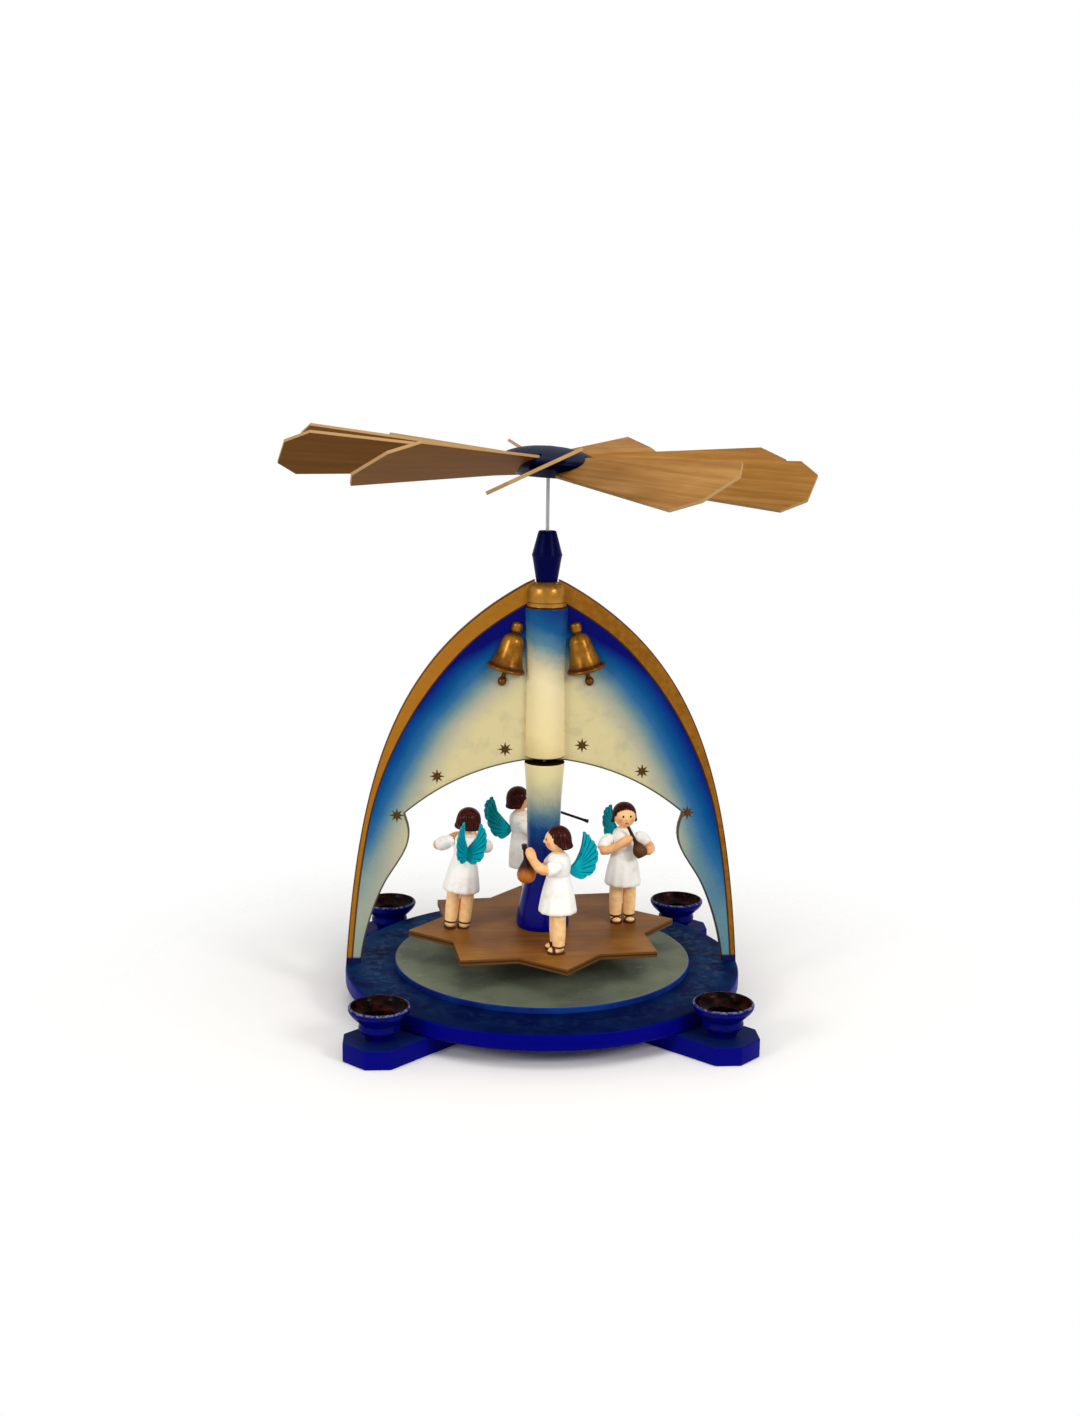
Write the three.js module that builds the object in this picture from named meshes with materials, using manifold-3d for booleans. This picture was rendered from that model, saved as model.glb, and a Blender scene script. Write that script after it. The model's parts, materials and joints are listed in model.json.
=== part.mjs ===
// Christmas pyramid: an arch of sawn wood over a carousel of turned angels, driven by a blade wheel.
// Millimetres and degrees, +Z up. The arch stands in the XZ plane and is seen from -Y.
// The origin is on the turning axis, on the surface that the crossed foot bars stand on.
import * as THREE from "three";
import { mergeVertices } from "three/addons/utils/BufferGeometryUtils.js";
import Module from "manifold-3d";

const wasm = await Module();
wasm.setup();

// Clearances
const GLUE_GAP = 0.3; // a fixed piece to the slot, hole or neighbour that holds it
const RUNNING_GAP = 0.35; // the turning shaft to the pieces that guide it
const CUT_OVERRUN = 1; // a cutting form past the face that it opens

// Base disc, and the raised floor glued on it
const DISC_RADIUS = 94;
const DISC_THICKNESS = 8;
const DISC_ROUNDING = 1.6;
const FLOOR_INSET = 23.6; // floor's edge in from the disc's rim
const FLOOR_THICKNESS = 3.2;
const FLOOR_ROUNDING = 0.8;

// Foot bars under the disc, half-lapped into a cross
const BAR_WIDTH = 30;
const BAR_THICKNESS = 8.5;
const BAR_OVERHANG = 15.4; // bar's end beyond the axis of its candle cup
const BAR_CORNER = 8; // sawn off each corner at 45 degrees
const BAR_TURN = 45; // from the arch's plane

// Candle cups on the bars' ends
const CUP_OFFSET = 12.6; // cup's axis beyond the base disc's rim
const CUP_HEIGHT = 15;
const CUP_RIM_RADIUS = 13.7;
const CUP_LIP = 1.3;
const CUP_WAIST_RADIUS = 8.7;
const CUP_WAIST_AT = 7.5;
const CUP_FLARE = [[0.4, 0.27], [0.8, 0.57]]; // shares of the way out and up from waist to rim
const CUP_BEAD_RADIUS = 9.2;
const CUP_BEAD_FROM = 4.2;
const CUP_BEAD_TO = 5.8;
const CUP_FOOT_RADIUS = 6.4;
const CUP_FOOT_HEIGHT = 1.5;
const CUP_PEG_RADIUS = 3;
const CUP_PEG_LENGTH = 5;
const CUP_FLOOR = 5; // wood left under the candle
const CANDLE_RADIUS = 7.2; // bore for a 14 mm candle
const CANDLE_DEPTH = 5.2; // from the drip dish's bottom

// Thrust bearing in the middle of the base
const BEARING_RADIUS = 4.5;
const BEARING_STAND = 1.5; // above the floor
const BEARING_DEPTH = 5; // of its cone
const BEARING_MOUTH = 2.6;
const BEARING_SEAT = 2; // wood left under it in the base disc

// Arch: two sawn panels; heights are from the base disc's top, widths in from the foot's outer edge
const PANEL_THICKNESS = 4;
const ARCH_FOOT_INSET = 0.2; // foot's outer edge in from the disc's rim
const ARCH_FOOT_WIDTH = 7.3;
const ARCH_FOOT_DEPTH = 6; // tenon in the base disc
const ARCH_RISE = 182.6; // to the panel's tip at the column
const OUTER_FOOT_PULL = [7, 95.4]; // Bezier handle of the outer edge at the foot
const OUTER_TIP_PULL = [60.2, 33.5]; // and at the tip, out from it and down
const OPENING_RISE = 99.2; // to the panel's lower edge at the column
const CUT_CROWN_PULL = [52.6, 4.6]; // handle of the cut-out above the nose, down from the lower edge
const CUT_NOSE = [28, 73.5]; // the pointed nose of the cut-out
const CUT_CHEEK_PULLS = [[34.3, 61], [27, 53.2]]; // handles of the rounded cheek under the nose
const CUT_SHOULDER = [20.6, 43];
const CUT_SHIN_PULLS = [[15.2, 34.3], [8.4, 15]]; // handles from the shoulder to the foot

// Column between the panels
const COLUMN_RADIUS = 9.5; // at its lower end
const COLUMN_WAIST_RADIUS = 9.05;
const COLUMN_NECK_RADIUS = 10.1; // under its cap
const COLUMN_SHANK = [[1, 0], [0.33, 0.28], [0, 0.56]]; // shares out from waist to lower end, and up
const COLUMN_FLARE = [[0.45, 0.78], [0.9, 0.93], [1, 1]]; // shares out from waist to neck, and up
const CAP_RADIUS = 9.3;
const CAP_HEIGHT = 11.4;
const CAP_DOME = 4.3;
const COLUMN_BORE = 3;
const COLUMN_OVER = 0.7; // column's top above the panels' tips
const COLUMN_SHORT = 1.8; // column's end above the panels' lower edges
const TONGUE_DEPTH = 3; // of a panel in the column

// Half-round bells glued on the panels' front
const BELL_RIM_RADIUS = 9.3;
const BELL_HEIGHT = 20;
const BELL_PROFILE = [
  [0.96, 0], [1, 0.04], [0.82, 0.17], [0.66, 0.42], [0.6, 0.7], [0.5, 0.86], [0.28, 0.97], [0.16, 1],
]; // shares of rim radius and height
const BELL_GAP = 0.2; // rim to the column's side
const BELL_DROP = 40.5; // rim's centre under the panels' tips
const BELL_TILT = 15;
const KNOB_RADIUS = 2.1;
const KNOB_SUNK = 0.6; // into the bell's crown
const CLAPPER_RADIUS = 2.2;
const CLAPPER_DROP = 5.2;
const CLAPPER_STEM_RADIUS = 1.1;
const CLAPPER_STEM_SUNK = 1; // into the bell

// Turned guide on top of the column
const GUIDE_HEIGHT = 23.4;
const GUIDE_BOTTOM_RADIUS = 4.9;
const GUIDE_WIDEST_RADIUS = 7.1;
const GUIDE_WIDEST_AT = 12.3;
const GUIDE_EDGE = [0.4, 1.2]; // rounding of its widest ring, inward and along
const GUIDE_TOP_RADIUS = 3.9;

// Carousel: shaft, lower column and star plate
const SHAFT_RADIUS = 0.8;
const SHAFT_POINT = 3;
const STAR_RISE = 18.3; // star plate's top above the base disc's top
const STAR_INSET = 29.7; // star's points in from the base disc's rim
const STAR_POINTS = 8;
const STAR_STEP = 2; // each side joins a point to the next but one
const STAR_THICKNESS = 3;
const STAR_TURN = 6.5; // first point from +X
const POST_TOP_GAP = 0.9; // lower column's top to the panels' lower edges
const POST_TOP_RADIUS = 9.6;
const POST_WAIST_RADIUS = 7.8;
const POST_FOOT_RADIUS = 12.7;
const POST_FOOT_CHAMFER = 0.5;
const POST_FLARE = [[1, 0.02], [0.85, 0.1], [0.58, 0.17], [0.24, 0.26], [0, 0.42], [0, 0.62]]; // out, up
const POST_SWELL = [[0.3, 0.82], [1, 1]]; // shares of the way out from waist to top, and of the height
const TENON_RADIUS = 5;

// Blade wheel
const WHEEL_CLEAR = 24.6; // hub's underside above the guide's top
const WHEEL_LEAN = 3.4; // it sits askew on its shaft, lower on the right
const HUB_RADIUS = 24;
const HUB_BELOW = 5.2; // hub's flat underside under the blade plane
const HUB_ABOVE = 8.8; // hub's crown over it
const HUB_FLAT_RADIUS = 14;
const HUB_WIDEST_AT = 1.2;
const HUB_LOWER_EDGE = [1.5, 1.8]; // rounding under the widest ring, inward and along
const HUB_UPPER_EDGE = [0.9, 1.9];
const HUB_CROWN = [[0.72, 0.72], [0.38, 0.94]]; // shares of hub radius and crown height
const KERF_DEPTH = 7;
const SHAFT_INTO_HUB = 9;
const BLADE_COUNT = 10;
const BLADE_PITCH = 28.8;
const BLADE_TURN = -95; // first blade from +X
const BLADE_ASKEW = [-1.5, 0, 0, 0, 7.5, 3, 1, 0, 0, 1.4]; // each blade as glued, off its even turn
const BLADE_RISE = [1.2, 0, 0, 1.5, 1, -1.8, -1.9, 0, -0.4, 0]; // each blade's tip above the wheel's plane
const BLADE_THICKNESS = 1.5;
const BLADE_TIP_RADIUS = 121.5;
const BLADE_TIP_HALF_WIDTH = 10.5;
const BLADE_CORNER = 9.5; // length of the corners sawn off the tip
const BLADE_HALF_WIDTH = 20.8;
const BLADE_ROOT_HALF_WIDTH = 8.8;

// Angels, each about its own upright axis, looking towards -Y, with its right hand at -X
const ANGEL_INSET = 25.3; // angel's axis in from the star's points
const LEG_LENGTH = 19;
const LEG_SPREAD = 3.3;
const LEG_RADIUS = 3.2;
const LEG_SUNK = 1; // into the disc inside the skirt
const ANKLE_RADIUS = 2.7;
const SHOE_RADII = [2.7, 3.9, 1.7];
const SHOE_RISE = 1;
const SHOE_FORWARD = 1.1;
const DRESS_HEIGHT = 27.8;
const SKIRT_HEIGHT = 17.2;
const HEM_RADIUS = 8.6;
const HEM_WALL = 1;
const SKIRT_HOLLOW = 2.3; // depth of the recess under the skirt
const SKIRT_WALL = 2; // at the recess's bottom
const HIP_RECESS = 0.4; // the disc inside the skirt, above the hem
const SKIRT_FLARE = [[1, 0], [1.03, 0.06], [0.75, 0.42], [0.36, 0.75], [0, 1]]; // out from the waist, up
const WAIST_RADIUS = 5.2;
const CHEST_RADIUS = 5.7;
const BODICE_SWELL = [[1, 0.4], [0.94, 0.7], [0.6, 0.9], [0, 1]]; // shares out from neck to chest, and up
const NECK_RADIUS = 2.2;
const HEAD_RADII = [5.2, 5.2, 5.4];
const HEAD_RISE = 5.8; // dress top to head centre
const HEAD_FORWARD = 1.2;
const HAIR_RADIUS = 5.9;
const HAIR_RISE = 12.3; // dress top to hair top
const HAIR_LENGTH = 10.2;
const HAIR_PROFILE = [
  [0.9, 1], [1.14, 0.94], [1, 0.78], [0.98, 0.5], [0.84, 0.25], [0.54, 0.07], [0.2, 0],
]; // shares of hair radius, and of length down from the crown
const HAIRLINE_DROP = 9.3; // under the hair top, beside the axis
const HAIRLINE_SLOPE = 45; // up from there to the forehead
const ARM_RADII = [2, 3, 3.1, 2.8, 2.4, 2.1, 1.9, 2.2, 1.4]; // puffed sleeve, forearm, wrist, hand
const SHOULDER_DROP = 3.7; // under the dress top
const WING_THICKNESS = 1.2;
const WING_SEAT = 0.7; // the V's middle line behind the dress
const WING_SPLAY = 34;
const WING_ROOT_TOP = [-1.2, -7.2]; // wing outline: back from that line, and up from the dress top
const WING_ROOT_BOTTOM = [-1.2, -10.3];
const WING_UNDER_PULL = [1.2, -12.1];
const WING_FEATHERED = [[3.9, -12.4], [10, -8.3], [12, -0.5], [10.6, 4.9], [6.3, 8.1]]; // lowest point to tip
const WING_NECK_PULL = [5.6, -3.4];
const WING_SCALLOPS = 2; // between two points of the feathered edge
const WING_SCALLOP_DEPTH = 0.6;

// Instruments, outlined from the end nearest the player
const HORN = [[0.8, 0], [0.95, 8.2], [2.4, 9.9], [3.5, 12.2], [3.3, 14.4], [2, 15.9]];
const PIPE = [[0.6, 0], [0.7, 28.4], [0.9, 30.2]];
const RECORDER = [[0.7, 0], [0.9, 4], [0.9, 10], [1.3, 12]];
const LUTE = [
  [1.8, 0], [4, 1], [5, 3.4], [4.4, 6], [2.5, 8.6], [1.2, 10.4], [0.9, 15.2], [1.4, 15.6], [1.3, 18],
];
const LUTE_FLATNESS = 0.9;

// Players in their order round the plate, each glued aside from its star point by some degrees and out
// from its place by some way, leaning back and to its right by some degrees.
// An instrument starts at a place from the face's front at the dress top, and heads on from there.
// An elbow is out from the chest's side, along and up from the dress top; a hand is from the start.
const PLAYERS = [
  {
    plays: "horn",
    aside: 0,
    out: 0,
    lean: [0, 0],
    form: HORN,
    flatness: 1,
    start: [0.4, -0.5, 2],
    heading: [6.2, -4, -13.2],
    right: { elbow: [4.6, -2, -9.6], hand: [1.6, -2.2, -4.6] },
    left: { elbow: [6.9, -1.5, -10], hand: [8.2, -2.8, -11.2] },
  },
  {
    plays: "pipe",
    aside: -1,
    out: 0,
    lean: [7.4, 0],
    form: PIPE,
    flatness: 1,
    start: [0, -0.5, 3],
    heading: [0, -27.4, -14.4],
    right: { elbow: [3.9, -3, -8.8], hand: [-0.6, -5.7, -3] },
    left: { elbow: [3.9, -5, -8.8], hand: [0.6, -11, -5.8] },
  },
  {
    plays: "recorder",
    aside: 0,
    out: 2.4,
    lean: [0, 6],
    form: RECORDER,
    flatness: 1,
    start: [0, -0.5, 1.8],
    heading: [0, -7.8, -8.6],
    right: { elbow: [4.9, -2, -6.6], hand: [-0.7, -3, -3] },
    left: { elbow: [6.5, -2, -7], hand: [0.7, -5.4, -5.6] },
  },
  {
    plays: "lute",
    aside: 0,
    out: 0,
    lean: [0, 0],
    form: LUTE,
    flatness: LUTE_FLATNESS,
    start: [0, -7.9, -13.6],
    heading: [0, -1.4, 17.4],
    right: { elbow: [2.7, -5, -9.6], hand: [-3.2, 1.6, 6.8] },
    left: { elbow: [1.7, -7, -6.2], hand: [1.6, 0.3, 16.6] },
  },
];

// Facets
const DISC_SIDES = 48;
const TURNED_SIDES = 24;
const CUP_SIDES = 16;
const FIGURE_SIDES = 14;
const LIMB_SIDES = 8;
const FACE_SIDES = 10;
const EDGE_STEPS = 2; // to a rounded edge
const DOME_STEPS = 3;
const ARCH_FACETS = 16; // to each curve of a panel's outline
const TENON_FACETS = 12;
const FEATHER_FACETS = 2; // to each curve of a wing's outline

// Sizes that follow from those above
const FLOOR_RADIUS = DISC_RADIUS - FLOOR_INSET;
const CUP_SPREAD = DISC_RADIUS + CUP_OFFSET;
const BAR_LENGTH = 2 * (CUP_SPREAD + BAR_OVERHANG);
const ARCH_FOOT_OUTER = DISC_RADIUS - ARCH_FOOT_INSET;
const ARCH_FOOT_INNER = ARCH_FOOT_OUTER - ARCH_FOOT_WIDTH;
const STAR_RADIUS = DISC_RADIUS - STAR_INSET;
const ANGEL_RADIUS = STAR_RADIUS - ANGEL_INSET;
const BASE_TOP = BAR_THICKNESS + DISC_THICKNESS;
const FLOOR_TOP = BASE_TOP + FLOOR_THICKNESS;
const BEARING_BOTTOM = BAR_THICKNESS + BEARING_SEAT;
const BEARING_TOP = FLOOR_TOP + BEARING_STAND;
const STAR_TOP = BASE_TOP + STAR_RISE;
const POST_HEIGHT = OPENING_RISE - POST_TOP_GAP - STAR_RISE;
const COLUMN_BOTTOM = BASE_TOP + OPENING_RISE + COLUMN_SHORT;
const COLUMN_TOP = BASE_TOP + ARCH_RISE + COLUMN_OVER;
const HUB_BOTTOM = COLUMN_TOP + GUIDE_HEIGHT + WHEEL_CLEAR;
const WHEEL_AT = HUB_BOTTOM + HUB_BELOW;
const DRESS_TOP = LEG_LENGTH + DRESS_HEIGHT;

const BLUE = finish(0x0b1f9c, 0.3);
const SKY_BLUE = finish(0x2a7fc0, 0.35);
const GREY_PAINT = finish(0x7d8474, 0.8);
const GOLD_PAINT = finish(0xb88a3c, 0.4, 0.6);
const BARE_WOOD = finish(0xb07a48, 0.6);
const STAR_WOOD = finish(0x7a4a22, 0.65);
const STEEL = finish(0x9a9a9c, 0.35, 0.9);
const BRASS = finish(0xb08d4a, 0.35, 0.9);
const WHITE_PAINT = finish(0xf4f0e6, 0.5);
const SKIN_PAINT = finish(0xe8b48a, 0.5);
const HAIR_PAINT = finish(0x2c120c, 0.35);
const WING_PAINT = finish(0x17a3ac, 0.4);
const DARK_WOOD = finish(0x3a2013, 0.45);

function finish(color, roughness, metalness = 0) {
  return new THREE.MeshStandardMaterial({ color, roughness, metalness });
}

function piece(name, geometry, material) {
  const mesh = new THREE.Mesh(geometry, material);
  mesh.name = name;
  return mesh;
}

function radians(degrees) {
  return THREE.MathUtils.degToRad(degrees);
}

// Closed geometry to a solid for cutting and joining, and back
function toSolid(geometry) {
  const bare = new THREE.BufferGeometry();
  const source = geometry.index ? geometry.toNonIndexed() : geometry;
  bare.setAttribute("position", source.getAttribute("position").clone());
  const merged = mergeVertices(bare, 1e-4);
  const vertProperties = merged.getAttribute("position").array;
  const triVerts = new Uint32Array(merged.index.array);
  return new wasm.Manifold(new wasm.Mesh({ numProp: 3, vertProperties, triVerts }));
}

function toGeometry(solid) {
  const { vertProperties, triVerts } = solid.getMesh();
  const geometry = new THREE.BufferGeometry();
  geometry.setAttribute("position", new THREE.BufferAttribute(vertProperties, 3));
  geometry.setIndex(new THREE.BufferAttribute(triVerts, 1));
  geometry.computeVertexNormals();
  return geometry;
}

function cut(body, ...tools) {
  return toGeometry(tools.reduce((rest, tool) => rest.subtract(toSolid(tool)), toSolid(body)));
}

function join(first, ...others) {
  return toGeometry(others.reduce((whole, other) => whole.add(toSolid(other)), toSolid(first)));
}

// Turned pieces: an outline is a list of [radius, height] up the outside
function turned(profile, sides) {
  const points = profile.map(([radius, height]) => new THREE.Vector2(radius, height));
  return new THREE.LatheGeometry(points, sides).rotateX(Math.PI / 2);
}

function solidTurned(outline, sides) {
  const [, bottom] = outline[0];
  const [, top] = outline[outline.length - 1];
  return turned([[0, bottom], ...outline, [0, top]], sides);
}

function boredTurned(outline, bore, sides) {
  const bottom = [bore, outline[0][1]];
  const top = [bore, outline[outline.length - 1][1]];
  return turned([bottom, ...outline, top, bottom], sides);
}

// Quarter ellipse from the outside in, for a rounded upper edge
function roundedEdge(radius, top, inward, drop, steps) {
  const points = [];
  for (let step = 0; step <= steps; step++) {
    const angle = (step / steps) * (Math.PI / 2);
    const out = radius - inward * (1 - Math.cos(angle));
    points.push([out, top - drop * (1 - Math.sin(angle))]);
  }
  return points;
}

// An outline that stands clear of another by a gap all round
function grown(outline, gap) {
  const last = outline.length - 1;
  return outline.map(([radius, height], index) => {
    const shift = index === 0 ? -gap : index === last ? gap : 0;
    return [radius + gap, height + shift];
  });
}

function box([x0, x1], [y0, y1], [z0, z1]) {
  const geometry = new THREE.BoxGeometry(x1 - x0, y1 - y0, z1 - z0);
  return geometry.translate((x0 + x1) / 2, (y0 + y1) / 2, (z0 + z1) / 2);
}

// A flat outline given its thickness, half of it to each side of its own plane
function plate(outline, depth, curveSegments) {
  const geometry = new THREE.ExtrudeGeometry(outline, { depth, bevelEnabled: false, curveSegments });
  return geometry.translate(0, 0, -depth / 2);
}

function ball(centre, radii, sides) {
  const rings = Math.ceil(sides / 2) + 1;
  return new THREE.SphereGeometry(1, sides, rings).scale(...radii).translate(...centre);
}

// Turns a piece made along +Z from the origin to start at one point and head for another
function aim(geometry, from, to) {
  const start = new THREE.Vector3(...from);
  const heading = new THREE.Vector3(...to).sub(start).normalize();
  const turn = new THREE.Quaternion().setFromUnitVectors(new THREE.Vector3(0, 0, 1), heading);
  return geometry.applyQuaternion(turn).translate(...from);
}

function limb(from, to, startRadius, endRadius) {
  const length = new THREE.Vector3(...from).distanceTo(new THREE.Vector3(...to));
  const outline = [
    [startRadius, 0],
    [endRadius, length],
  ];
  return aim(solidTurned(outline, LIMB_SIDES), from, to);
}

function sum(first, second) {
  return first.map((value, axis) => value + second[axis]);
}

// A round limb swept along a curve through points, as thick at each as its radius says
function loft(points, radii, sides) {
  const path = new THREE.CatmullRomCurve3(points.map((point) => new THREE.Vector3(...point)));
  const rings = radii.length - 1;
  const { normals, binormals } = path.computeFrenetFrames(rings, false);
  const positions = [...path.getPointAt(0), ...path.getPointAt(1)];
  const triangles = [];
  const vertex = (ring, side) => 2 + ring * sides + (side % sides);
  radii.forEach((radius, ring) => {
    const centre = path.getPointAt(ring / rings);
    for (let side = 0; side < sides; side++) {
      const angle = (2 * Math.PI * side) / sides;
      const across = normals[ring].clone().multiplyScalar(radius * Math.cos(angle));
      across.addScaledVector(binormals[ring], radius * Math.sin(angle));
      positions.push(...across.add(centre));
      const next = side + 1;
      if (ring === 0) triangles.push(0, vertex(0, next), vertex(0, side));
      if (ring === rings) triangles.push(1, vertex(ring, side), vertex(ring, next));
      if (ring === rings) continue;
      triangles.push(vertex(ring, side), vertex(ring, next), vertex(ring + 1, next));
      triangles.push(vertex(ring, side), vertex(ring + 1, next), vertex(ring + 1, side));
    }
  });
  const geometry = new THREE.BufferGeometry();
  geometry.setAttribute("position", new THREE.Float32BufferAttribute(positions, 3));
  geometry.setIndex(triangles);
  return geometry;
}

// One foot bar along X, with its half of the lap joint and a hole for each cup's peg
function footBar(name, turn, lapFrom, lapTo) {
  const end = BAR_LENGTH / 2;
  const side = BAR_WIDTH / 2;
  const outline = new THREE.Shape();
  outline.moveTo(end, side - BAR_CORNER);
  outline.lineTo(end - BAR_CORNER, side);
  outline.lineTo(BAR_CORNER - end, side);
  outline.lineTo(-end, side - BAR_CORNER);
  outline.lineTo(-end, BAR_CORNER - side);
  outline.lineTo(BAR_CORNER - end, -side);
  outline.lineTo(end - BAR_CORNER, -side);
  outline.lineTo(end, BAR_CORNER - side);
  const bar = plate(outline, BAR_THICKNESS).translate(0, 0, BAR_THICKNESS / 2);
  const lap = side + GLUE_GAP;
  const cuts = [box([-lap, lap], [-lap, lap], [lapFrom, lapTo])];
  const holeRadius = CUP_PEG_RADIUS + GLUE_GAP;
  const hole = [
    [holeRadius, BAR_THICKNESS - CUP_PEG_LENGTH - GLUE_GAP],
    [holeRadius, BAR_THICKNESS + CUT_OVERRUN],
  ];
  for (const at of [-CUP_SPREAD, CUP_SPREAD]) {
    cuts.push(solidTurned(hole, FIGURE_SIDES).translate(at, 0, 0));
  }
  const mesh = piece(name, cut(bar, ...cuts), BLUE);
  mesh.rotation.z = radians(turn);
  return mesh;
}

function foot() {
  const group = new THREE.Group();
  const half = BAR_THICKNESS / 2;
  group.add(footBar("foot_bar_lower", BAR_TURN, half, BAR_THICKNESS + CUT_OVERRUN));
  group.add(footBar("foot_bar_upper", -BAR_TURN, -CUT_OVERRUN, half));
  return group;
}

// Base disc with a blind hole for the bearing and an open notch for each arch foot
function baseDisc() {
  const hole = BEARING_RADIUS + GLUE_GAP;
  const disc = turned(
    [
      [0, BAR_THICKNESS],
      [DISC_RADIUS - DISC_ROUNDING, BAR_THICKNESS],
      [DISC_RADIUS, BAR_THICKNESS + DISC_ROUNDING],
      ...roundedEdge(DISC_RADIUS, BASE_TOP, DISC_ROUNDING, DISC_ROUNDING, EDGE_STEPS),
      [hole, BASE_TOP],
      [hole, BEARING_BOTTOM],
      [0, BEARING_BOTTOM],
    ],
    DISC_SIDES,
  );
  const inner = ARCH_FOOT_INNER - GLUE_GAP;
  const outer = DISC_RADIUS + CUT_OVERRUN;
  const width = PANEL_THICKNESS / 2 + GLUE_GAP;
  const depth = [BASE_TOP - ARCH_FOOT_DEPTH, BASE_TOP + CUT_OVERRUN];
  const right = box([inner, outer], [-width, width], depth);
  const left = box([-outer, -inner], [-width, width], depth);
  return piece("base_disc", cut(disc, right, left), BLUE);
}

function floorDisc() {
  const edge = roundedEdge(FLOOR_RADIUS, FLOOR_TOP, FLOOR_ROUNDING, FLOOR_ROUNDING, EDGE_STEPS);
  const outline = [[FLOOR_RADIUS, BASE_TOP], ...edge];
  return piece("floor_disc", boredTurned(outline, BEARING_RADIUS + GLUE_GAP, DISC_SIDES), GREY_PAINT);
}

function bearingCup() {
  const outline = [
    [0, BEARING_BOTTOM],
    [BEARING_RADIUS, BEARING_BOTTOM],
    [BEARING_RADIUS, BEARING_TOP],
    [BEARING_MOUTH, BEARING_TOP],
    [0, BEARING_TOP - BEARING_DEPTH],
  ];
  return piece("bearing_cup", turned(outline, FIGURE_SIDES), BRASS);
}

// Turned candle cup: peg, foot, bead, flared bowl, drip dish and candle bore
function candleCup(name, turn) {
  const pegEnd = GLUE_GAP - CUP_PEG_LENGTH;
  const lipAt = CUP_HEIGHT - CUP_LIP / 2;
  const flare = CUP_FLARE.map(([out, up]) => [
    CUP_WAIST_RADIUS + out * (CUP_RIM_RADIUS - CUP_WAIST_RADIUS),
    CUP_WAIST_AT + up * (lipAt - CUP_WAIST_AT),
  ]);
  const outline = [
    [0, pegEnd],
    [CUP_PEG_RADIUS, pegEnd],
    [CUP_PEG_RADIUS, 0],
    [CUP_FOOT_RADIUS, 0],
    [CUP_FOOT_RADIUS, CUP_FOOT_HEIGHT],
    [CUP_BEAD_RADIUS, CUP_BEAD_FROM],
    [CUP_BEAD_RADIUS, CUP_BEAD_TO],
    [CUP_WAIST_RADIUS, CUP_WAIST_AT],
    ...flare,
    [CUP_RIM_RADIUS, lipAt],
    [CUP_RIM_RADIUS - CUP_LIP / 2, CUP_HEIGHT],
    [CUP_RIM_RADIUS - CUP_LIP, lipAt],
    [CANDLE_RADIUS, CUP_FLOOR + CANDLE_DEPTH],
    [CANDLE_RADIUS, CUP_FLOOR],
    [0, CUP_FLOOR],
  ];
  const mesh = piece(name, turned(outline, CUP_SIDES), BLUE);
  const angle = radians(turn);
  mesh.position.set(CUP_SPREAD * Math.cos(angle), CUP_SPREAD * Math.sin(angle), BAR_THICKNESS);
  return mesh;
}

function candleCups() {
  const group = new THREE.Group();
  const names = ["back_right", "back_left", "front_left", "front_right"];
  const step = 360 / names.length;
  names.forEach((name, index) => group.add(candleCup("candle_cup_" + name, BAR_TURN + step * index)));
  return group;
}

// One arch panel, drawn in its own plane above the base disc; side is 1 for right and -1 for left
function archPanel(name, side) {
  const at = (x, z) => new THREE.Vector2(side * x, z);
  const inward = ([x, z]) => at(ARCH_FOOT_OUTER - x, z);
  const tongue = COLUMN_RADIUS - TONGUE_DEPTH;
  const footEnd = GLUE_GAP - ARCH_FOOT_DEPTH;
  const footPull = inward(OUTER_FOOT_PULL);
  const tipPull = at(COLUMN_RADIUS + OUTER_TIP_PULL[0], ARCH_RISE - OUTER_TIP_PULL[1]);
  const tip = at(COLUMN_RADIUS, ARCH_RISE);
  const crownPull = inward([CUT_CROWN_PULL[0], OPENING_RISE - CUT_CROWN_PULL[1]]);
  const nose = inward(CUT_NOSE);
  const outline = new THREE.Shape();
  outline.moveTo(side * ARCH_FOOT_OUTER, footEnd);
  outline.lineTo(side * ARCH_FOOT_OUTER, 0);
  outline.bezierCurveTo(footPull.x, footPull.y, tipPull.x, tipPull.y, tip.x, tip.y);
  outline.lineTo(side * tongue, ARCH_RISE);
  outline.lineTo(side * tongue, OPENING_RISE);
  outline.lineTo(side * COLUMN_RADIUS, OPENING_RISE);
  outline.quadraticCurveTo(crownPull.x, crownPull.y, nose.x, nose.y);
  for (const [pulls, end] of [
    [CUT_CHEEK_PULLS, CUT_SHOULDER],
    [CUT_SHIN_PULLS, [ARCH_FOOT_WIDTH, 0]],
  ]) {
    const [leave, arrive, stop] = [...pulls, end].map(inward);
    outline.bezierCurveTo(leave.x, leave.y, arrive.x, arrive.y, stop.x, stop.y);
  }
  outline.lineTo(side * ARCH_FOOT_INNER, footEnd);
  const panel = plate(outline, PANEL_THICKNESS, ARCH_FACETS).rotateX(Math.PI / 2);
  const mesh = piece(name, panel, SKY_BLUE);
  mesh.position.z = BASE_TOP;
  return mesh;
}

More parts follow.
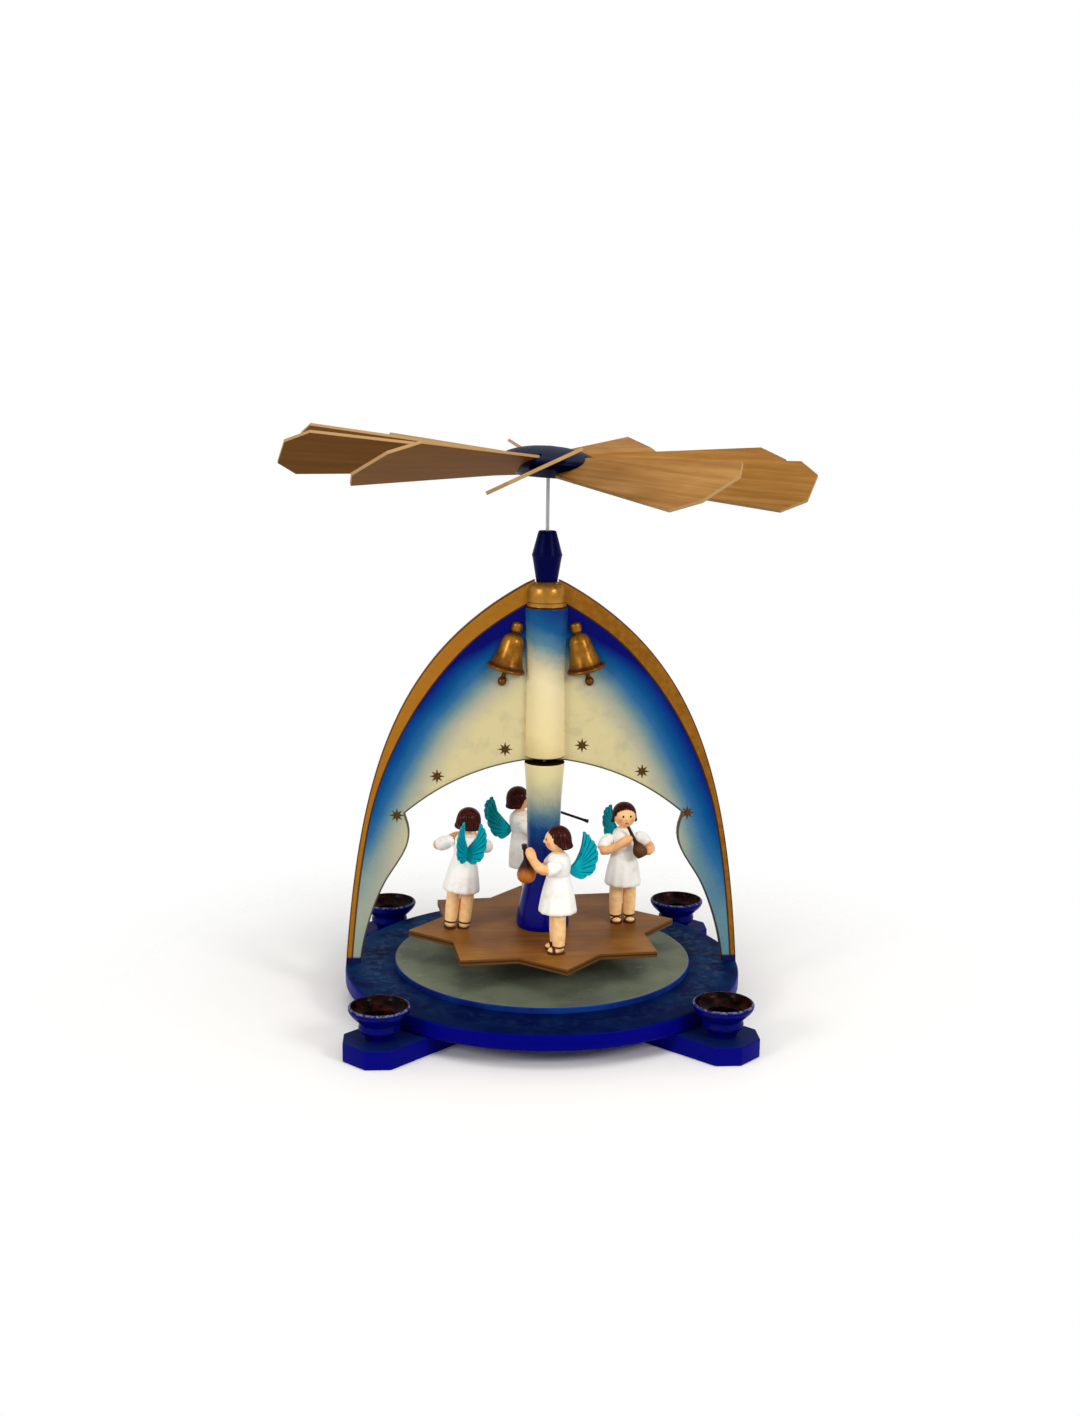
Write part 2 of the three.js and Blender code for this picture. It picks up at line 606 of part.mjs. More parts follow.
// Arch column: waisted, with a domed cap, bored for the shaft and slotted on both sides for the panels
function archColumn() {
  const shank = COLUMN_TOP - CAP_HEIGHT - COLUMN_BOTTOM;
  const swell = COLUMN_RADIUS - COLUMN_WAIST_RADIUS;
  const flare = COLUMN_NECK_RADIUS - COLUMN_WAIST_RADIUS;
  const outline = [
    ...COLUMN_SHANK.map(([out, up]) => [COLUMN_WAIST_RADIUS + swell * out, COLUMN_BOTTOM + shank * up]),
    ...COLUMN_FLARE.map(([out, up]) => [COLUMN_WAIST_RADIUS + flare * out, COLUMN_BOTTOM + shank * up]),
    [CAP_RADIUS, COLUMN_BOTTOM + shank],
    ...roundedEdge(CAP_RADIUS, COLUMN_TOP, CAP_RADIUS - GUIDE_BOTTOM_RADIUS, CAP_DOME, DOME_STEPS),
  ];
  const column = boredTurned(outline, COLUMN_BORE, TURNED_SIDES);
  const slotFloor = COLUMN_RADIUS - TONGUE_DEPTH - GLUE_GAP;
  const outside = COLUMN_NECK_RADIUS + CUT_OVERRUN;
  const width = PANEL_THICKNESS / 2 + GLUE_GAP;
  const length = [COLUMN_BOTTOM - CUT_OVERRUN, COLUMN_TOP + CUT_OVERRUN];
  const right = box([slotFloor, outside], [-width, width], length);
  const left = box([-outside, -slotFloor], [-width, width], length);
  return piece("arch_column", cut(column, right, left), SKY_BLUE);
}

function topGuide() {
  const [inward, along] = GUIDE_EDGE;
  const outline = [
    [GUIDE_BOTTOM_RADIUS, 0],
    [GUIDE_WIDEST_RADIUS - inward, GUIDE_WIDEST_AT - along],
    [GUIDE_WIDEST_RADIUS, GUIDE_WIDEST_AT],
    [GUIDE_WIDEST_RADIUS - inward, GUIDE_WIDEST_AT + along],
    [GUIDE_TOP_RADIUS, GUIDE_HEIGHT],
  ];
  const mesh = piece("top_guide", boredTurned(outline, SHAFT_RADIUS + RUNNING_GAP, TURNED_SIDES), BLUE);
  mesh.position.z = COLUMN_TOP;
  return mesh;
}

// Half-round bell with its knob and clapper, flat at the back against the panel
function bell(name, side) {
  const outline = BELL_PROFILE.map(([out, up]) => [out * BELL_RIM_RADIUS, up * BELL_HEIGHT]);
  const shell = solidTurned(outline, TURNED_SIDES);
  const knobRadii = [KNOB_RADIUS, KNOB_RADIUS, KNOB_RADIUS];
  const knob = ball([0, 0, BELL_HEIGHT + KNOB_RADIUS - KNOB_SUNK], knobRadii, LIMB_SIDES);
  const hanging = [0, 0, -CLAPPER_DROP];
  const clapper = ball(hanging, [CLAPPER_RADIUS, CLAPPER_RADIUS, CLAPPER_RADIUS], LIMB_SIDES);
  const stem = limb(hanging, [0, 0, CLAPPER_STEM_SUNK], CLAPPER_STEM_RADIUS, CLAPPER_STEM_RADIUS);
  const reach = BELL_RIM_RADIUS + BELL_HEIGHT + 2 * KNOB_RADIUS;
  const behind = box([-reach, reach], [0, reach], [-reach, reach]);
  const mesh = piece(name, cut(join(shell, knob, clapper, stem), behind), GOLD_PAINT);
  const aside = COLUMN_RADIUS + BELL_GAP + BELL_RIM_RADIUS;
  mesh.position.set(side * aside, -PANEL_THICKNESS / 2 - GLUE_GAP, BASE_TOP + ARCH_RISE - BELL_DROP);
  mesh.rotation.y = radians(-side * BELL_TILT);
  return mesh;
}

function arch() {
  const group = new THREE.Group();
  group.add(archPanel("arch_panel_right", 1), archPanel("arch_panel_left", -1));
  group.add(archColumn(), topGuide());
  group.add(bell("bell_right", 1), bell("bell_left", -1));
  return group;
}

// Steel shaft, pointed where it turns in the bearing cup, ending blind in the hub
function shaft() {
  const point = BEARING_TOP - BEARING_DEPTH + RUNNING_GAP;
  const top = HUB_BOTTOM + SHAFT_INTO_HUB;
  const outline = [
    [0, point],
    [SHAFT_RADIUS, point + SHAFT_POINT],
    [SHAFT_RADIUS, top],
    [0, top],
  ];
  return piece("shaft", turned(outline, FIGURE_SIDES), STEEL);
}

// Lower column: a waisted post on the star plate, with a tenon through it
function carouselPost() {
  const spread = POST_FOOT_RADIUS - POST_WAIST_RADIUS;
  const swell = POST_TOP_RADIUS - POST_WAIST_RADIUS;
  const outline = [
    [TENON_RADIUS, -STAR_THICKNESS],
    [TENON_RADIUS, 0],
    [POST_FOOT_RADIUS - POST_FOOT_CHAMFER, 0],
    ...POST_FLARE.map(([out, up]) => [POST_WAIST_RADIUS + spread * out, POST_HEIGHT * up]),
    ...POST_SWELL.map(([out, up]) => [POST_WAIST_RADIUS + swell * out, POST_HEIGHT * up]),
  ];
  const mesh = piece("carousel_post", boredTurned(outline, SHAFT_RADIUS + GLUE_GAP, TURNED_SIDES), BLUE);
  mesh.position.z = STAR_TOP;
  return mesh;
}

// Star plate: the outline of overlaid squares, with a hole for the post's tenon
function starPlate() {
  const half = Math.PI / STAR_POINTS;
  const notch = (STAR_RADIUS * Math.cos(STAR_STEP * half)) / Math.cos((STAR_STEP - 1) * half);
  const outline = new THREE.Shape();
  for (let corner = 0; corner < 2 * STAR_POINTS; corner++) {
    const radius = corner % 2 ? notch : STAR_RADIUS;
    const angle = corner * half;
    const step = [radius * Math.cos(angle), radius * Math.sin(angle)];
    if (corner === 0) outline.moveTo(...step);
    else outline.lineTo(...step);
  }
  outline.holes.push(new THREE.Path().absarc(0, 0, TENON_RADIUS + GLUE_GAP, 0, 2 * Math.PI, true));
  const mesh = piece("star_plate", plate(outline, STAR_THICKNESS, TENON_FACETS), STAR_WOOD);
  mesh.position.z = STAR_TOP - STAR_THICKNESS / 2;
  mesh.rotation.z = radians(STAR_TURN);
  return mesh;
}

function bladeTurn(blade) {
  return radians(BLADE_TURN + (360 / BLADE_COUNT) * blade + BLADE_ASKEW[blade]);
}

// Hub: turned, sawn with one slanting kerf for each blade and bored blind for the leaning shaft
function wheelHub() {
  const reach = Math.max(HUB_BELOW, SHAFT_INTO_HUB - HUB_BELOW);
  const lean = reach * Math.tan(radians(WHEEL_LEAN));
  const bore = SHAFT_RADIUS + GLUE_GAP + lean;
  const boreTop = SHAFT_INTO_HUB - HUB_BELOW + GLUE_GAP;
  const body = turned(
    [
      [bore, -HUB_BELOW],
      [HUB_FLAT_RADIUS, -HUB_BELOW],
      [HUB_RADIUS - HUB_LOWER_EDGE[0], HUB_WIDEST_AT - HUB_LOWER_EDGE[1]],
      [HUB_RADIUS, HUB_WIDEST_AT],
      [HUB_RADIUS - HUB_UPPER_EDGE[0], HUB_WIDEST_AT + HUB_UPPER_EDGE[1]],
      ...HUB_CROWN.map(([out, up]) => [HUB_RADIUS * out, HUB_ABOVE * up]),
      [0, HUB_ABOVE],
      [0, boreTop],
      [bore, boreTop],
      [bore, -HUB_BELOW],
    ],
    2 * BLADE_COUNT,
  );
  const wide = BLADE_ROOT_HALF_WIDTH + BLADE_HALF_WIDTH * (KERF_DEPTH / BLADE_TIP_RADIUS) + GLUE_GAP;
  const thick = BLADE_THICKNESS / 2 + GLUE_GAP;
  const kerfs = [];
  for (let blade = 0; blade < BLADE_COUNT; blade++) {
    const length = [HUB_RADIUS - KERF_DEPTH, HUB_RADIUS + CUT_OVERRUN];
    const kerf = box(length, [-wide, wide], [-thick, thick]);
    const pitched = kerf.rotateX(radians(BLADE_PITCH)).rotateY(radians(-BLADE_RISE[blade]));
    kerfs.push(pitched.rotateZ(bladeTurn(blade)));
  }
  return piece("wheel_hub", cut(body, ...kerfs), BLUE);
}

// One thin blade along X, widening from its root in the kerf to a tip with sawn corners
function wheelBlade(blade) {
  const root = HUB_RADIUS - KERF_DEPTH + GLUE_GAP;
  const shoulder = BLADE_TIP_RADIUS - BLADE_CORNER;
  const outline = new THREE.Shape();
  outline.moveTo(root, -BLADE_ROOT_HALF_WIDTH);
  outline.lineTo(shoulder, -BLADE_HALF_WIDTH);
  outline.lineTo(BLADE_TIP_RADIUS, -BLADE_TIP_HALF_WIDTH);
  outline.lineTo(BLADE_TIP_RADIUS, BLADE_TIP_HALF_WIDTH);
  outline.lineTo(shoulder, BLADE_HALF_WIDTH);
  outline.lineTo(root, BLADE_ROOT_HALF_WIDTH);
  const pitched = plate(outline, BLADE_THICKNESS).rotateX(radians(BLADE_PITCH));
  const geometry = pitched.rotateY(radians(-BLADE_RISE[blade]));
  const mesh = piece("wheel_blade_" + String(blade + 1).padStart(2, "0"), geometry, BARE_WOOD);
  mesh.rotation.z = bladeTurn(blade);
  return mesh;
}

function bladeWheel() {
  const group = new THREE.Group();
  group.position.z = WHEEL_AT;
  group.rotation.y = radians(WHEEL_LEAN);
  group.add(wheelHub());
  for (let blade = 0; blade < BLADE_COUNT; blade++) group.add(wheelBlade(blade));
  return group;
}

// Outside of an angel's dress, from hem to neck
function dressOutline() {
  const flare = HEM_RADIUS - WAIST_RADIUS;
  const swell = CHEST_RADIUS - NECK_RADIUS;
  const waist = LEG_LENGTH + SKIRT_HEIGHT;
  const bodice = DRESS_HEIGHT - SKIRT_HEIGHT;
  return [
    ...SKIRT_FLARE.map(([out, up]) => [WAIST_RADIUS + flare * out, LEG_LENGTH + SKIRT_HEIGHT * up]),
    ...BODICE_SWELL.map(([out, up]) => [NECK_RADIUS + swell * out, waist + bodice * up]),
  ];
}

function angelDress() {
  const hollow = LEG_LENGTH + SKIRT_HOLLOW;
  const inside = [
    [0, hollow],
    [HEM_RADIUS - SKIRT_WALL, hollow],
    [HEM_RADIUS - HEM_WALL, LEG_LENGTH],
  ];
  return turned([...inside, ...dressOutline(), [0, DRESS_TOP]], FIGURE_SIDES);
}

function leaning({ lean: [back, right] }) {
  return new THREE.Quaternion().setFromEuler(new THREE.Euler(radians(-back), radians(-right), 0));
}

// Both legs with their shoes, held together by the disc that is glued into the skirt and flat underneath
function angelLegs(player) {
  const hipRadius = HEM_RADIUS - SKIRT_WALL - 2 * GLUE_GAP;
  const hip = [
    [hipRadius, LEG_LENGTH + HIP_RECESS],
    [hipRadius, LEG_LENGTH + SKIRT_HOLLOW - GLUE_GAP],
  ];
  const forms = [solidTurned(hip, FIGURE_SIDES)];
  for (const aside of [-LEG_SPREAD, LEG_SPREAD]) {
    const top = LEG_LENGTH + HIP_RECESS + LEG_SUNK;
    forms.push(limb([aside, 0, SHOE_RISE], [aside, 0, top], ANKLE_RADIUS, LEG_RADIUS));
    forms.push(ball([aside, -SHOE_FORWARD, SHOE_RISE], SHOE_RADII, LIMB_SIDES));
  }
  const wide = LEG_SPREAD + SHOE_RADII[0] + SHOE_RADII[1] + SHOE_FORWARD;
  const ground = box([-wide, wide], [-wide, wide], [-wide, 0]);
  return cut(join(...forms).applyQuaternion(leaning(player)), ground);
}

// Head with its bobbed hair: a cap with flicked ends, cut slanting from the forehead to behind the cheek
function angelHead() {
  const crown = DRESS_TOP + HAIR_RISE;
  const outline = HAIR_PROFILE.map(([out, down]) => [HAIR_RADIUS * out, crown - HAIR_LENGTH * down]);
  const hair = solidTurned(outline, FIGURE_SIDES);
  const reach = 4 * HAIR_RADIUS;
  const front = box([-reach, reach], [-reach, reach], [-reach, 0]);
  const opening = front.rotateX(radians(-HAIRLINE_SLOPE)).translate(0, 0, crown - HAIRLINE_DROP);
  const centre = DRESS_TOP + HEAD_RISE;
  const face = ball([0, -HEAD_FORWARD, centre], HEAD_RADII, FACE_SIDES);
  const neck = limb([0, 0, DRESS_TOP + GLUE_GAP], [0, 0, centre], NECK_RADIUS, NECK_RADIUS);
  return join(cut(hair, opening), face, neck);
}

// Where an instrument starts: near the face's front, at the dress top
function instrumentStart(player) {
  return sum([0, -HEAD_FORWARD - HEAD_RADII[1], DRESS_TOP], player.start);
}

// An instrument; gap makes the same form larger, for the hand that closes round it
function instrument(player, gap) {
  const start = instrumentStart(player);
  const form = solidTurned(grown(player.form, gap), LIMB_SIDES).scale(1, player.flatness, 1);
  return aim(form, start, sum(start, player.heading));
}

// Arm from a puffed sleeve over the elbow to the hand, cut clear of the dress and what it holds
function angelArm(player, side, { elbow: [out, along, up], hand }) {
  const shoulder = [side * (CHEST_RADIUS + GLUE_GAP), 0, DRESS_TOP - SHOULDER_DROP];
  const elbow = [side * (CHEST_RADIUS + out), along, DRESS_TOP + up];
  const arm = loft([shoulder, elbow, sum(instrumentStart(player), hand)], ARM_RADII, LIMB_SIDES);
  const clear = CHEST_RADIUS + GLUE_GAP;
  const body = box([-clear, clear], [-clear, clear], [LEG_LENGTH, DRESS_TOP]);
  return cut(arm, body, instrument(player, GLUE_GAP));
}

// A pair of scalloped wings that meet in a V, hollowed to sit against the back of the dress
function angelWings() {
  const outline = new THREE.Shape();
  outline.moveTo(...WING_ROOT_TOP);
  outline.lineTo(...WING_ROOT_BOTTOM);
  outline.quadraticCurveTo(...WING_UNDER_PULL, ...WING_FEATHERED[0]);
  WING_FEATHERED.slice(1).forEach((point, index) => scallops(outline, WING_FEATHERED[index], point));
  outline.quadraticCurveTo(...WING_NECK_PULL, ...WING_ROOT_TOP);
  const behind = CHEST_RADIUS + GLUE_GAP + WING_SEAT;
  const wings = [-1, 1].map((side) => {
    const wing = plate(outline, WING_THICKNESS, FEATHER_FACETS).rotateX(Math.PI / 2);
    return wing.rotateZ(radians(90 - side * WING_SPLAY)).translate(0, behind, DRESS_TOP);
  });
  const back = solidTurned(grown(dressOutline(), GLUE_GAP), FIGURE_SIDES);
  return cut(join(...wings), back);
}

// Rounded feather ends along the line from one point to another
function scallops(outline, from, to) {
  const start = new THREE.Vector2(...from);
  const step = new THREE.Vector2(...to).sub(start).divideScalar(WING_SCALLOPS);
  const outward = new THREE.Vector2(step.y, -step.x).setLength(2 * WING_SCALLOP_DEPTH);
  for (let feather = 0; feather < WING_SCALLOPS; feather++) {
    const crest = start.clone().addScaledVector(step, feather + 0.5).add(outward);
    const end = start.clone().addScaledVector(step, feather + 1);
    outline.quadraticCurveTo(crest.x, crest.y, end.x, end.y);
  }
}

function angel(player, index) {
  const name = player.plays + "_angel_";
  const upper = new THREE.Group();
  upper.quaternion.copy(leaning(player));
  upper.add(piece(name + "dress", angelDress(), WHITE_PAINT));
  upper.add(piece(name + "head", angelHead(), HAIR_PAINT));
  upper.add(piece(name + "arm_right", angelArm(player, -1, player.right), SKIN_PAINT));
  upper.add(piece(name + "arm_left", angelArm(player, 1, player.left), SKIN_PAINT));
  upper.add(piece(name + "wings", angelWings(), WING_PAINT));
  upper.add(piece(name + player.plays, instrument(player, 0), DARK_WOOD));
  const group = new THREE.Group();
  group.add(piece(name + "legs", angelLegs(player), SKIN_PAINT), upper);
  const turn = radians(STAR_TURN + (360 / PLAYERS.length) * index + player.aside);
  const radius = ANGEL_RADIUS + player.out;
  group.position.set(radius * Math.cos(turn), radius * Math.sin(turn), STAR_TOP);
  group.rotation.z = turn;
  return group;
}

function carousel() {
  const group = new THREE.Group();
  group.add(shaft(), carouselPost(), starPlate(), bladeWheel());
  PLAYERS.forEach((player, index) => group.add(angel(player, index)));
  return group;
}

const pyramid = new THREE.Group();
pyramid.add(foot(), baseDisc(), floorDisc(), bearingCup(), candleCups(), arch(), carousel());

export default pyramid;
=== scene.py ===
# Christmas pyramid of painted and varnished wood: a paddle wheel on a steel shaft turns a star plate
# with four musician angels under a painted arch, on a round base with crossed foot bars and candle cups.

import json
import math

import bmesh
import bpy
from mathutils import Matrix, Vector
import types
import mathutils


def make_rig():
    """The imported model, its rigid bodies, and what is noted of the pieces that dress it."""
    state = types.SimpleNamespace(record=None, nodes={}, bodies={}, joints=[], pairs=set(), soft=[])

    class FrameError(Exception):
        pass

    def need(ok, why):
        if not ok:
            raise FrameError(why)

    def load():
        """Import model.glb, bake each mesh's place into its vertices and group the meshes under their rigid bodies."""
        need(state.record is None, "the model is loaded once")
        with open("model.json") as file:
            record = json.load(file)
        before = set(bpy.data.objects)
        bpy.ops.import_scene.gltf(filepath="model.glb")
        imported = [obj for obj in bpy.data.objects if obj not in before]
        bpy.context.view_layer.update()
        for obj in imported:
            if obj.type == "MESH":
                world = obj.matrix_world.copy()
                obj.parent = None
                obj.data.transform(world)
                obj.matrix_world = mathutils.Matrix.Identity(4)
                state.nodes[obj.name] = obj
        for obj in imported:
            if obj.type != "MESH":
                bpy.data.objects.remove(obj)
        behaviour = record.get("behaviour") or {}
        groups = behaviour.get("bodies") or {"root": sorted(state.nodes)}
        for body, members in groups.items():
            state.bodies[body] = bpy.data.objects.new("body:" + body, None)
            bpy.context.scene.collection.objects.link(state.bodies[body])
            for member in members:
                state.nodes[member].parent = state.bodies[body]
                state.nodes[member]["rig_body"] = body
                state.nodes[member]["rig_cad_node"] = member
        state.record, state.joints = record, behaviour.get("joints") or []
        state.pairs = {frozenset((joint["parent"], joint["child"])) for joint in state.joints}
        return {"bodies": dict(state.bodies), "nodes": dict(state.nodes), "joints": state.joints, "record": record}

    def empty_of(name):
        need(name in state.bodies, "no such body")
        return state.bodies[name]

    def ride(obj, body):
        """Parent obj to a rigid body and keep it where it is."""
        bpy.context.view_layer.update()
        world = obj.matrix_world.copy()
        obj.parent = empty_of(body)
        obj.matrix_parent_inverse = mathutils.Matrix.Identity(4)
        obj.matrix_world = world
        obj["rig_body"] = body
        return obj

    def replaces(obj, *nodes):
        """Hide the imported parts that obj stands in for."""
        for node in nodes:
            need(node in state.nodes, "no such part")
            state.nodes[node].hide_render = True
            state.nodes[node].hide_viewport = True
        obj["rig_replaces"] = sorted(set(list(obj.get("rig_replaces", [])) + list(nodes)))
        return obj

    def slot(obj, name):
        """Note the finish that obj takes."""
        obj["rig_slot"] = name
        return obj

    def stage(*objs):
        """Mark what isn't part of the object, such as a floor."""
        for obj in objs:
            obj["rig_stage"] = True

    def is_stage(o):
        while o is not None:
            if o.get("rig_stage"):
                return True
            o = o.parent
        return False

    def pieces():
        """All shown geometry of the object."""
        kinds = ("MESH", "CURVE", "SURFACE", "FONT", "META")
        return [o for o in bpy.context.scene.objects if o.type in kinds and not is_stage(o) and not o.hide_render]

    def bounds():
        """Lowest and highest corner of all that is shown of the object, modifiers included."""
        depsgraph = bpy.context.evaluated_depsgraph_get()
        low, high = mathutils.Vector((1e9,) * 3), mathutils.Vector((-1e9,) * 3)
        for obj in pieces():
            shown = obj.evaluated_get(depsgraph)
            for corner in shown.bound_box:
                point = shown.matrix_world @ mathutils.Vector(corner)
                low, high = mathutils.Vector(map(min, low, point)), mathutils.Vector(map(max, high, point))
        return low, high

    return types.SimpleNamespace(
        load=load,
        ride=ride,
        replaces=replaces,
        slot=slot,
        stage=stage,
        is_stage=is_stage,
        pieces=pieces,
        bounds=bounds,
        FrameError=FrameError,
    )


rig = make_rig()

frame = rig.load()
cad_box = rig.bounds()
scene = bpy.context.scene
scene.view_settings.view_transform = "Standard"


# Studio: a pale floor that fades out into a white surround, lit by soft lamps above and to both sides.
# The camera stands a little above the wheel and slightly to the left of the arch's middle.

MM = 0.001
VIEW_AIM = Vector((-2.44, 0, 140.4)) * MM
VIEW_DISTANCE = 791.4 * MM
VIEW_RISE = 0.19186
VIEW_SIDE = -0.06055
VIEW_ROLL = 0.01213
VIEW_LENS = 43.04
SURROUND_LIGHT = 0.57
FLOOR_COLOUR = "#f3f1ed"
FLOOR_SOLID = 90
FLOOR_GONE = 270
FLOOR_DROP = 0.1


def placed(name, data):
    """A new object in the scene, made of that data."""
    thing = bpy.data.objects.new(name, data)
    scene.collection.objects.link(thing)
    return thing


back = Vector((math.sin(VIEW_SIDE), -math.cos(VIEW_SIDE), math.tan(VIEW_RISE))).normalized()
right = Vector((0, 0, 1)).cross(back).normalized()
facing = Matrix((right, back.cross(right), back)).transposed() @ Matrix.Rotation(VIEW_ROLL, 3, "Z")
camera = placed("camera", bpy.data.cameras.new("camera"))
camera.data.lens = VIEW_LENS
camera.matrix_world = Matrix.Translation(VIEW_AIM + back * VIEW_DISTANCE) @ facing.to_4x4()
scene.camera = camera


def lamp(name, place, size, power):
    """A square soft lamp at a place in metres, turned towards the middle of the object."""
    light = placed(name, bpy.data.lights.new(name, "AREA"))
    light.data.size = size
    light.data.energy = power
    light.location = place
    light.rotation_euler = (VIEW_AIM - light.location).to_track_quat("-Z", "Y").to_euler()


lamp("lamp_overhead", place=(0.1, -0.3, 1.3), size=1.0, power=7.2)
lamp("lamp_right", place=(0.8, -0.9, 0.7), size=0.32, power=6.5)
lamp("lamp_left", place=(-0.9, -0.8, 0.6), size=0.32, power=5.5)


class Value:
    """One output of a node; a sum written with it lays down its Math nodes."""

    def __init__(self, nodes, socket):
        self.nodes = nodes
        self.socket = socket

    def math(self, operation, *terms):
        return self.nodes.add("ShaderNodeMath", {"operation": operation}, dict(enumerate(terms)))

    def __add__(self, other):
        return self.math("ADD", self, other)

    def __sub__(self, other):
        return self.math("SUBTRACT", self, other)

    def __rsub__(self, other):
        return self.math("SUBTRACT", other, self)

    def __mul__(self, other):
        return self.math("MULTIPLY", self, other)

    def __truediv__(self, other):
        return self.math("DIVIDE", self, other)

    def __abs__(self):
        return self.math("ABSOLUTE", self)

    def __round__(self):
        return self.math("ROUND", self)

    __radd__ = __add__
    __rmul__ = __mul__

    def most(self, other):
        return self.math("MAXIMUM", self, other)

    def step(self, low, high):
        """A soft rise from 0 at low to 1 at high; with the larger number first it falls."""
        settings = {"interpolation_type": "SMOOTHSTEP"}
        return self.nodes.add("ShaderNodeMapRange", settings, {0: self, 1: low, 2: high})


class Nodes:
    """A node tree as it is laid down: each call adds one node and gives back one of its outputs."""

    def __init__(self, tree):
        self.tree = tree

    def add(self, kind, settings=None, sockets=None, output=0):
        node = self.tree.nodes.new(kind)
        for name, setting in (settings or {}).items():
            if name == "stops":
                self.set_stops(node.color_ramp, setting)
            else:
                setattr(node, name, setting)
        for name, value in (sockets or {}).items():
            self.join(node.inputs[name], value)
        return Value(self, node.outputs[output])

    def join(self, socket, value):
        if isinstance(value, Value):
            self.tree.links.new(value.socket, socket)
        else:
            socket.default_value = colour(value)

    def set_stops(self, ramp, stops):
        while len(ramp.elements) < len(stops):
            ramp.elements.new(1)
        for element, (place, code) in zip(ramp.elements, stops):
            element.position = place
            element.color = colour(code)


def colour(value):
    """A hex colour as the linear numbers that a socket takes; any other value as it is."""
    if not isinstance(value, str) or not value.startswith("#"):
        return value
    channels = [int(value[place:place + 2], 16) / 255 for place in (1, 3, 5)]
    linear = [part / 12.92 if part < 0.0405 else ((part + 0.055) / 1.055) ** 2.4 for part in channels]
    return (*linear, 1)


class Paint(Nodes):
    """A finish: one principled shader, fed from the piece's own coordinates in millimetres."""

    def __init__(self, name, **fixed):
        self.material = bpy.data.materials.new(name)
        self.material.use_nodes = True
        super().__init__(self.material.node_tree)
        self.shader = self.tree.nodes["Principled BSDF"]
        self.feed(**fixed)

    def feed(self, **values):
        for name, value in values.items():
            self.join(self.shader.inputs[name.replace("_", " ")], value)

    def vector(self, operation, *terms, output=0):
        return self.add("ShaderNodeVectorMath", {"operation": operation}, dict(enumerate(terms)), output)

    def point(self, mark=None):
        """Where on the piece, in millimetres: its own coordinates, or those kept under a mark."""
        if mark:
            place = self.add("ShaderNodeAttribute", {"attribute_name": mark}, output="Vector")
        else:
            place = self.add("ShaderNodeTexCoord", output="Object")
        return self.vector("MULTIPLY", place, (1 / MM, 1 / MM, 1 / MM))

    def mark(self, name):
        return self.add("ShaderNodeAttribute", {"attribute_name": name}, output="Fac")

    def part_from(self, number):
        """1 on a mesh's shapes from that number on, and 0 on those before it."""
        return self.mark("part").step(number - 0.6, number - 0.4)

    def axis(self, point, letter):
        return self.add("ShaderNodeSeparateXYZ", None, {0: point}, output=letter)

    def facing(self, letter):
        return self.axis(self.add("ShaderNodeTexCoord", output="Normal"), letter)

    def reach(self, point):
        """Distance from the upright axis."""
        return self.vector("LENGTH", self.vector("MULTIPLY", point, (1, 1, 0)), output="Value")

    def noise(self, point, size, detail=3, stretch=(1, 1, 1)):
        """Cloudy pattern about 0.5, with clouds of about that many millimetres."""
        drawn = self.vector("MULTIPLY", point, stretch)
        return self.add("ShaderNodeTexNoise", None, {"Vector": drawn, "Scale": 1 / size, "Detail": detail})

    def mix(self, share, first, second):
        return self.add("ShaderNodeMix", {"data_type": "RGBA"}, {0: share, 6: first, 7: second}, output=2)

    def ramp(self, value, stops):
        return self.add("ShaderNodeValToRGB", {"stops": stops}, {0: value})

    def bump(self, height, depth):
        """Relief of that depth in millimetres."""
        self.feed(Normal=self.add("ShaderNodeBump", None, {"Height": height, "Distance": depth * MM}))


scene.world = bpy.data.worlds.new("surround")
scene.world.use_nodes = True
surround = Nodes(scene.world.node_tree)
soft_light = surround.add("ShaderNodeBackground", None, {"Color": "#ffffff", "Strength": SURROUND_LIGHT})
white = surround.add("ShaderNodeBackground", None, {"Color": "#ffffff", "Strength": 1})
seen = surround.add("ShaderNodeLightPath", output="Is Camera Ray")
for ray in ("Is Glossy Ray", "Is Transmission Ray"):
    seen = seen.most(surround.add("ShaderNodeLightPath", output=ray))
shown = surround.add("ShaderNodeMixShader", None, {0: seen, 1: soft_light, 2: white})
surround.join(scene.world.node_tree.nodes["World Output"].inputs["Surface"], shown)


def shaped(name, shape):
    """A new piece with that shape as its mesh."""
    mesh = bpy.data.meshes.new(name)
    shape.to_mesh(mesh)
    shape.free()
    return placed(name, mesh)


floor_paint = Paint("floor_paint", Base_Color=FLOOR_COLOUR, Roughness=0.6, Specular_IOR_Level=0.2)
floor_paint.feed(Alpha=floor_paint.reach(floor_paint.point()).step(FLOOR_GONE, FLOOR_SOLID))
floor_shape = bmesh.new()
bmesh.ops.create_circle(floor_shape, cap_ends=True, segments=96, radius=FLOOR_GONE * MM)
studio_floor = shaped("studio_floor", floor_shape)
studio_floor.data.materials.append(floor_paint.material)
studio_floor.location.z = -FLOOR_DROP * MM
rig.stage(studio_floor)


# Foot bars: two planed bars with sawn corners, half-lapped into a cross and glued under the base.
# Brushed gloss paint, bright ultramarine on the sides and a darker blue on top.

BAR_SIDE = "#03046e"
BAR_TOP = "#07194c"
BAR_SPECKS = "#3f5f86"
BAR_EDGE = 0.5
WELD = 0.001
SAWN_SHARP = 12
TURNED_SHARP = 35


def smoothed(piece, sharp):
    """Shades a piece smoothly, apart from edges that turn by more than that many degrees."""
    piece.data.shade_smooth()
    piece.data.set_sharp_from_angle(angle=math.radians(sharp))
    return piece


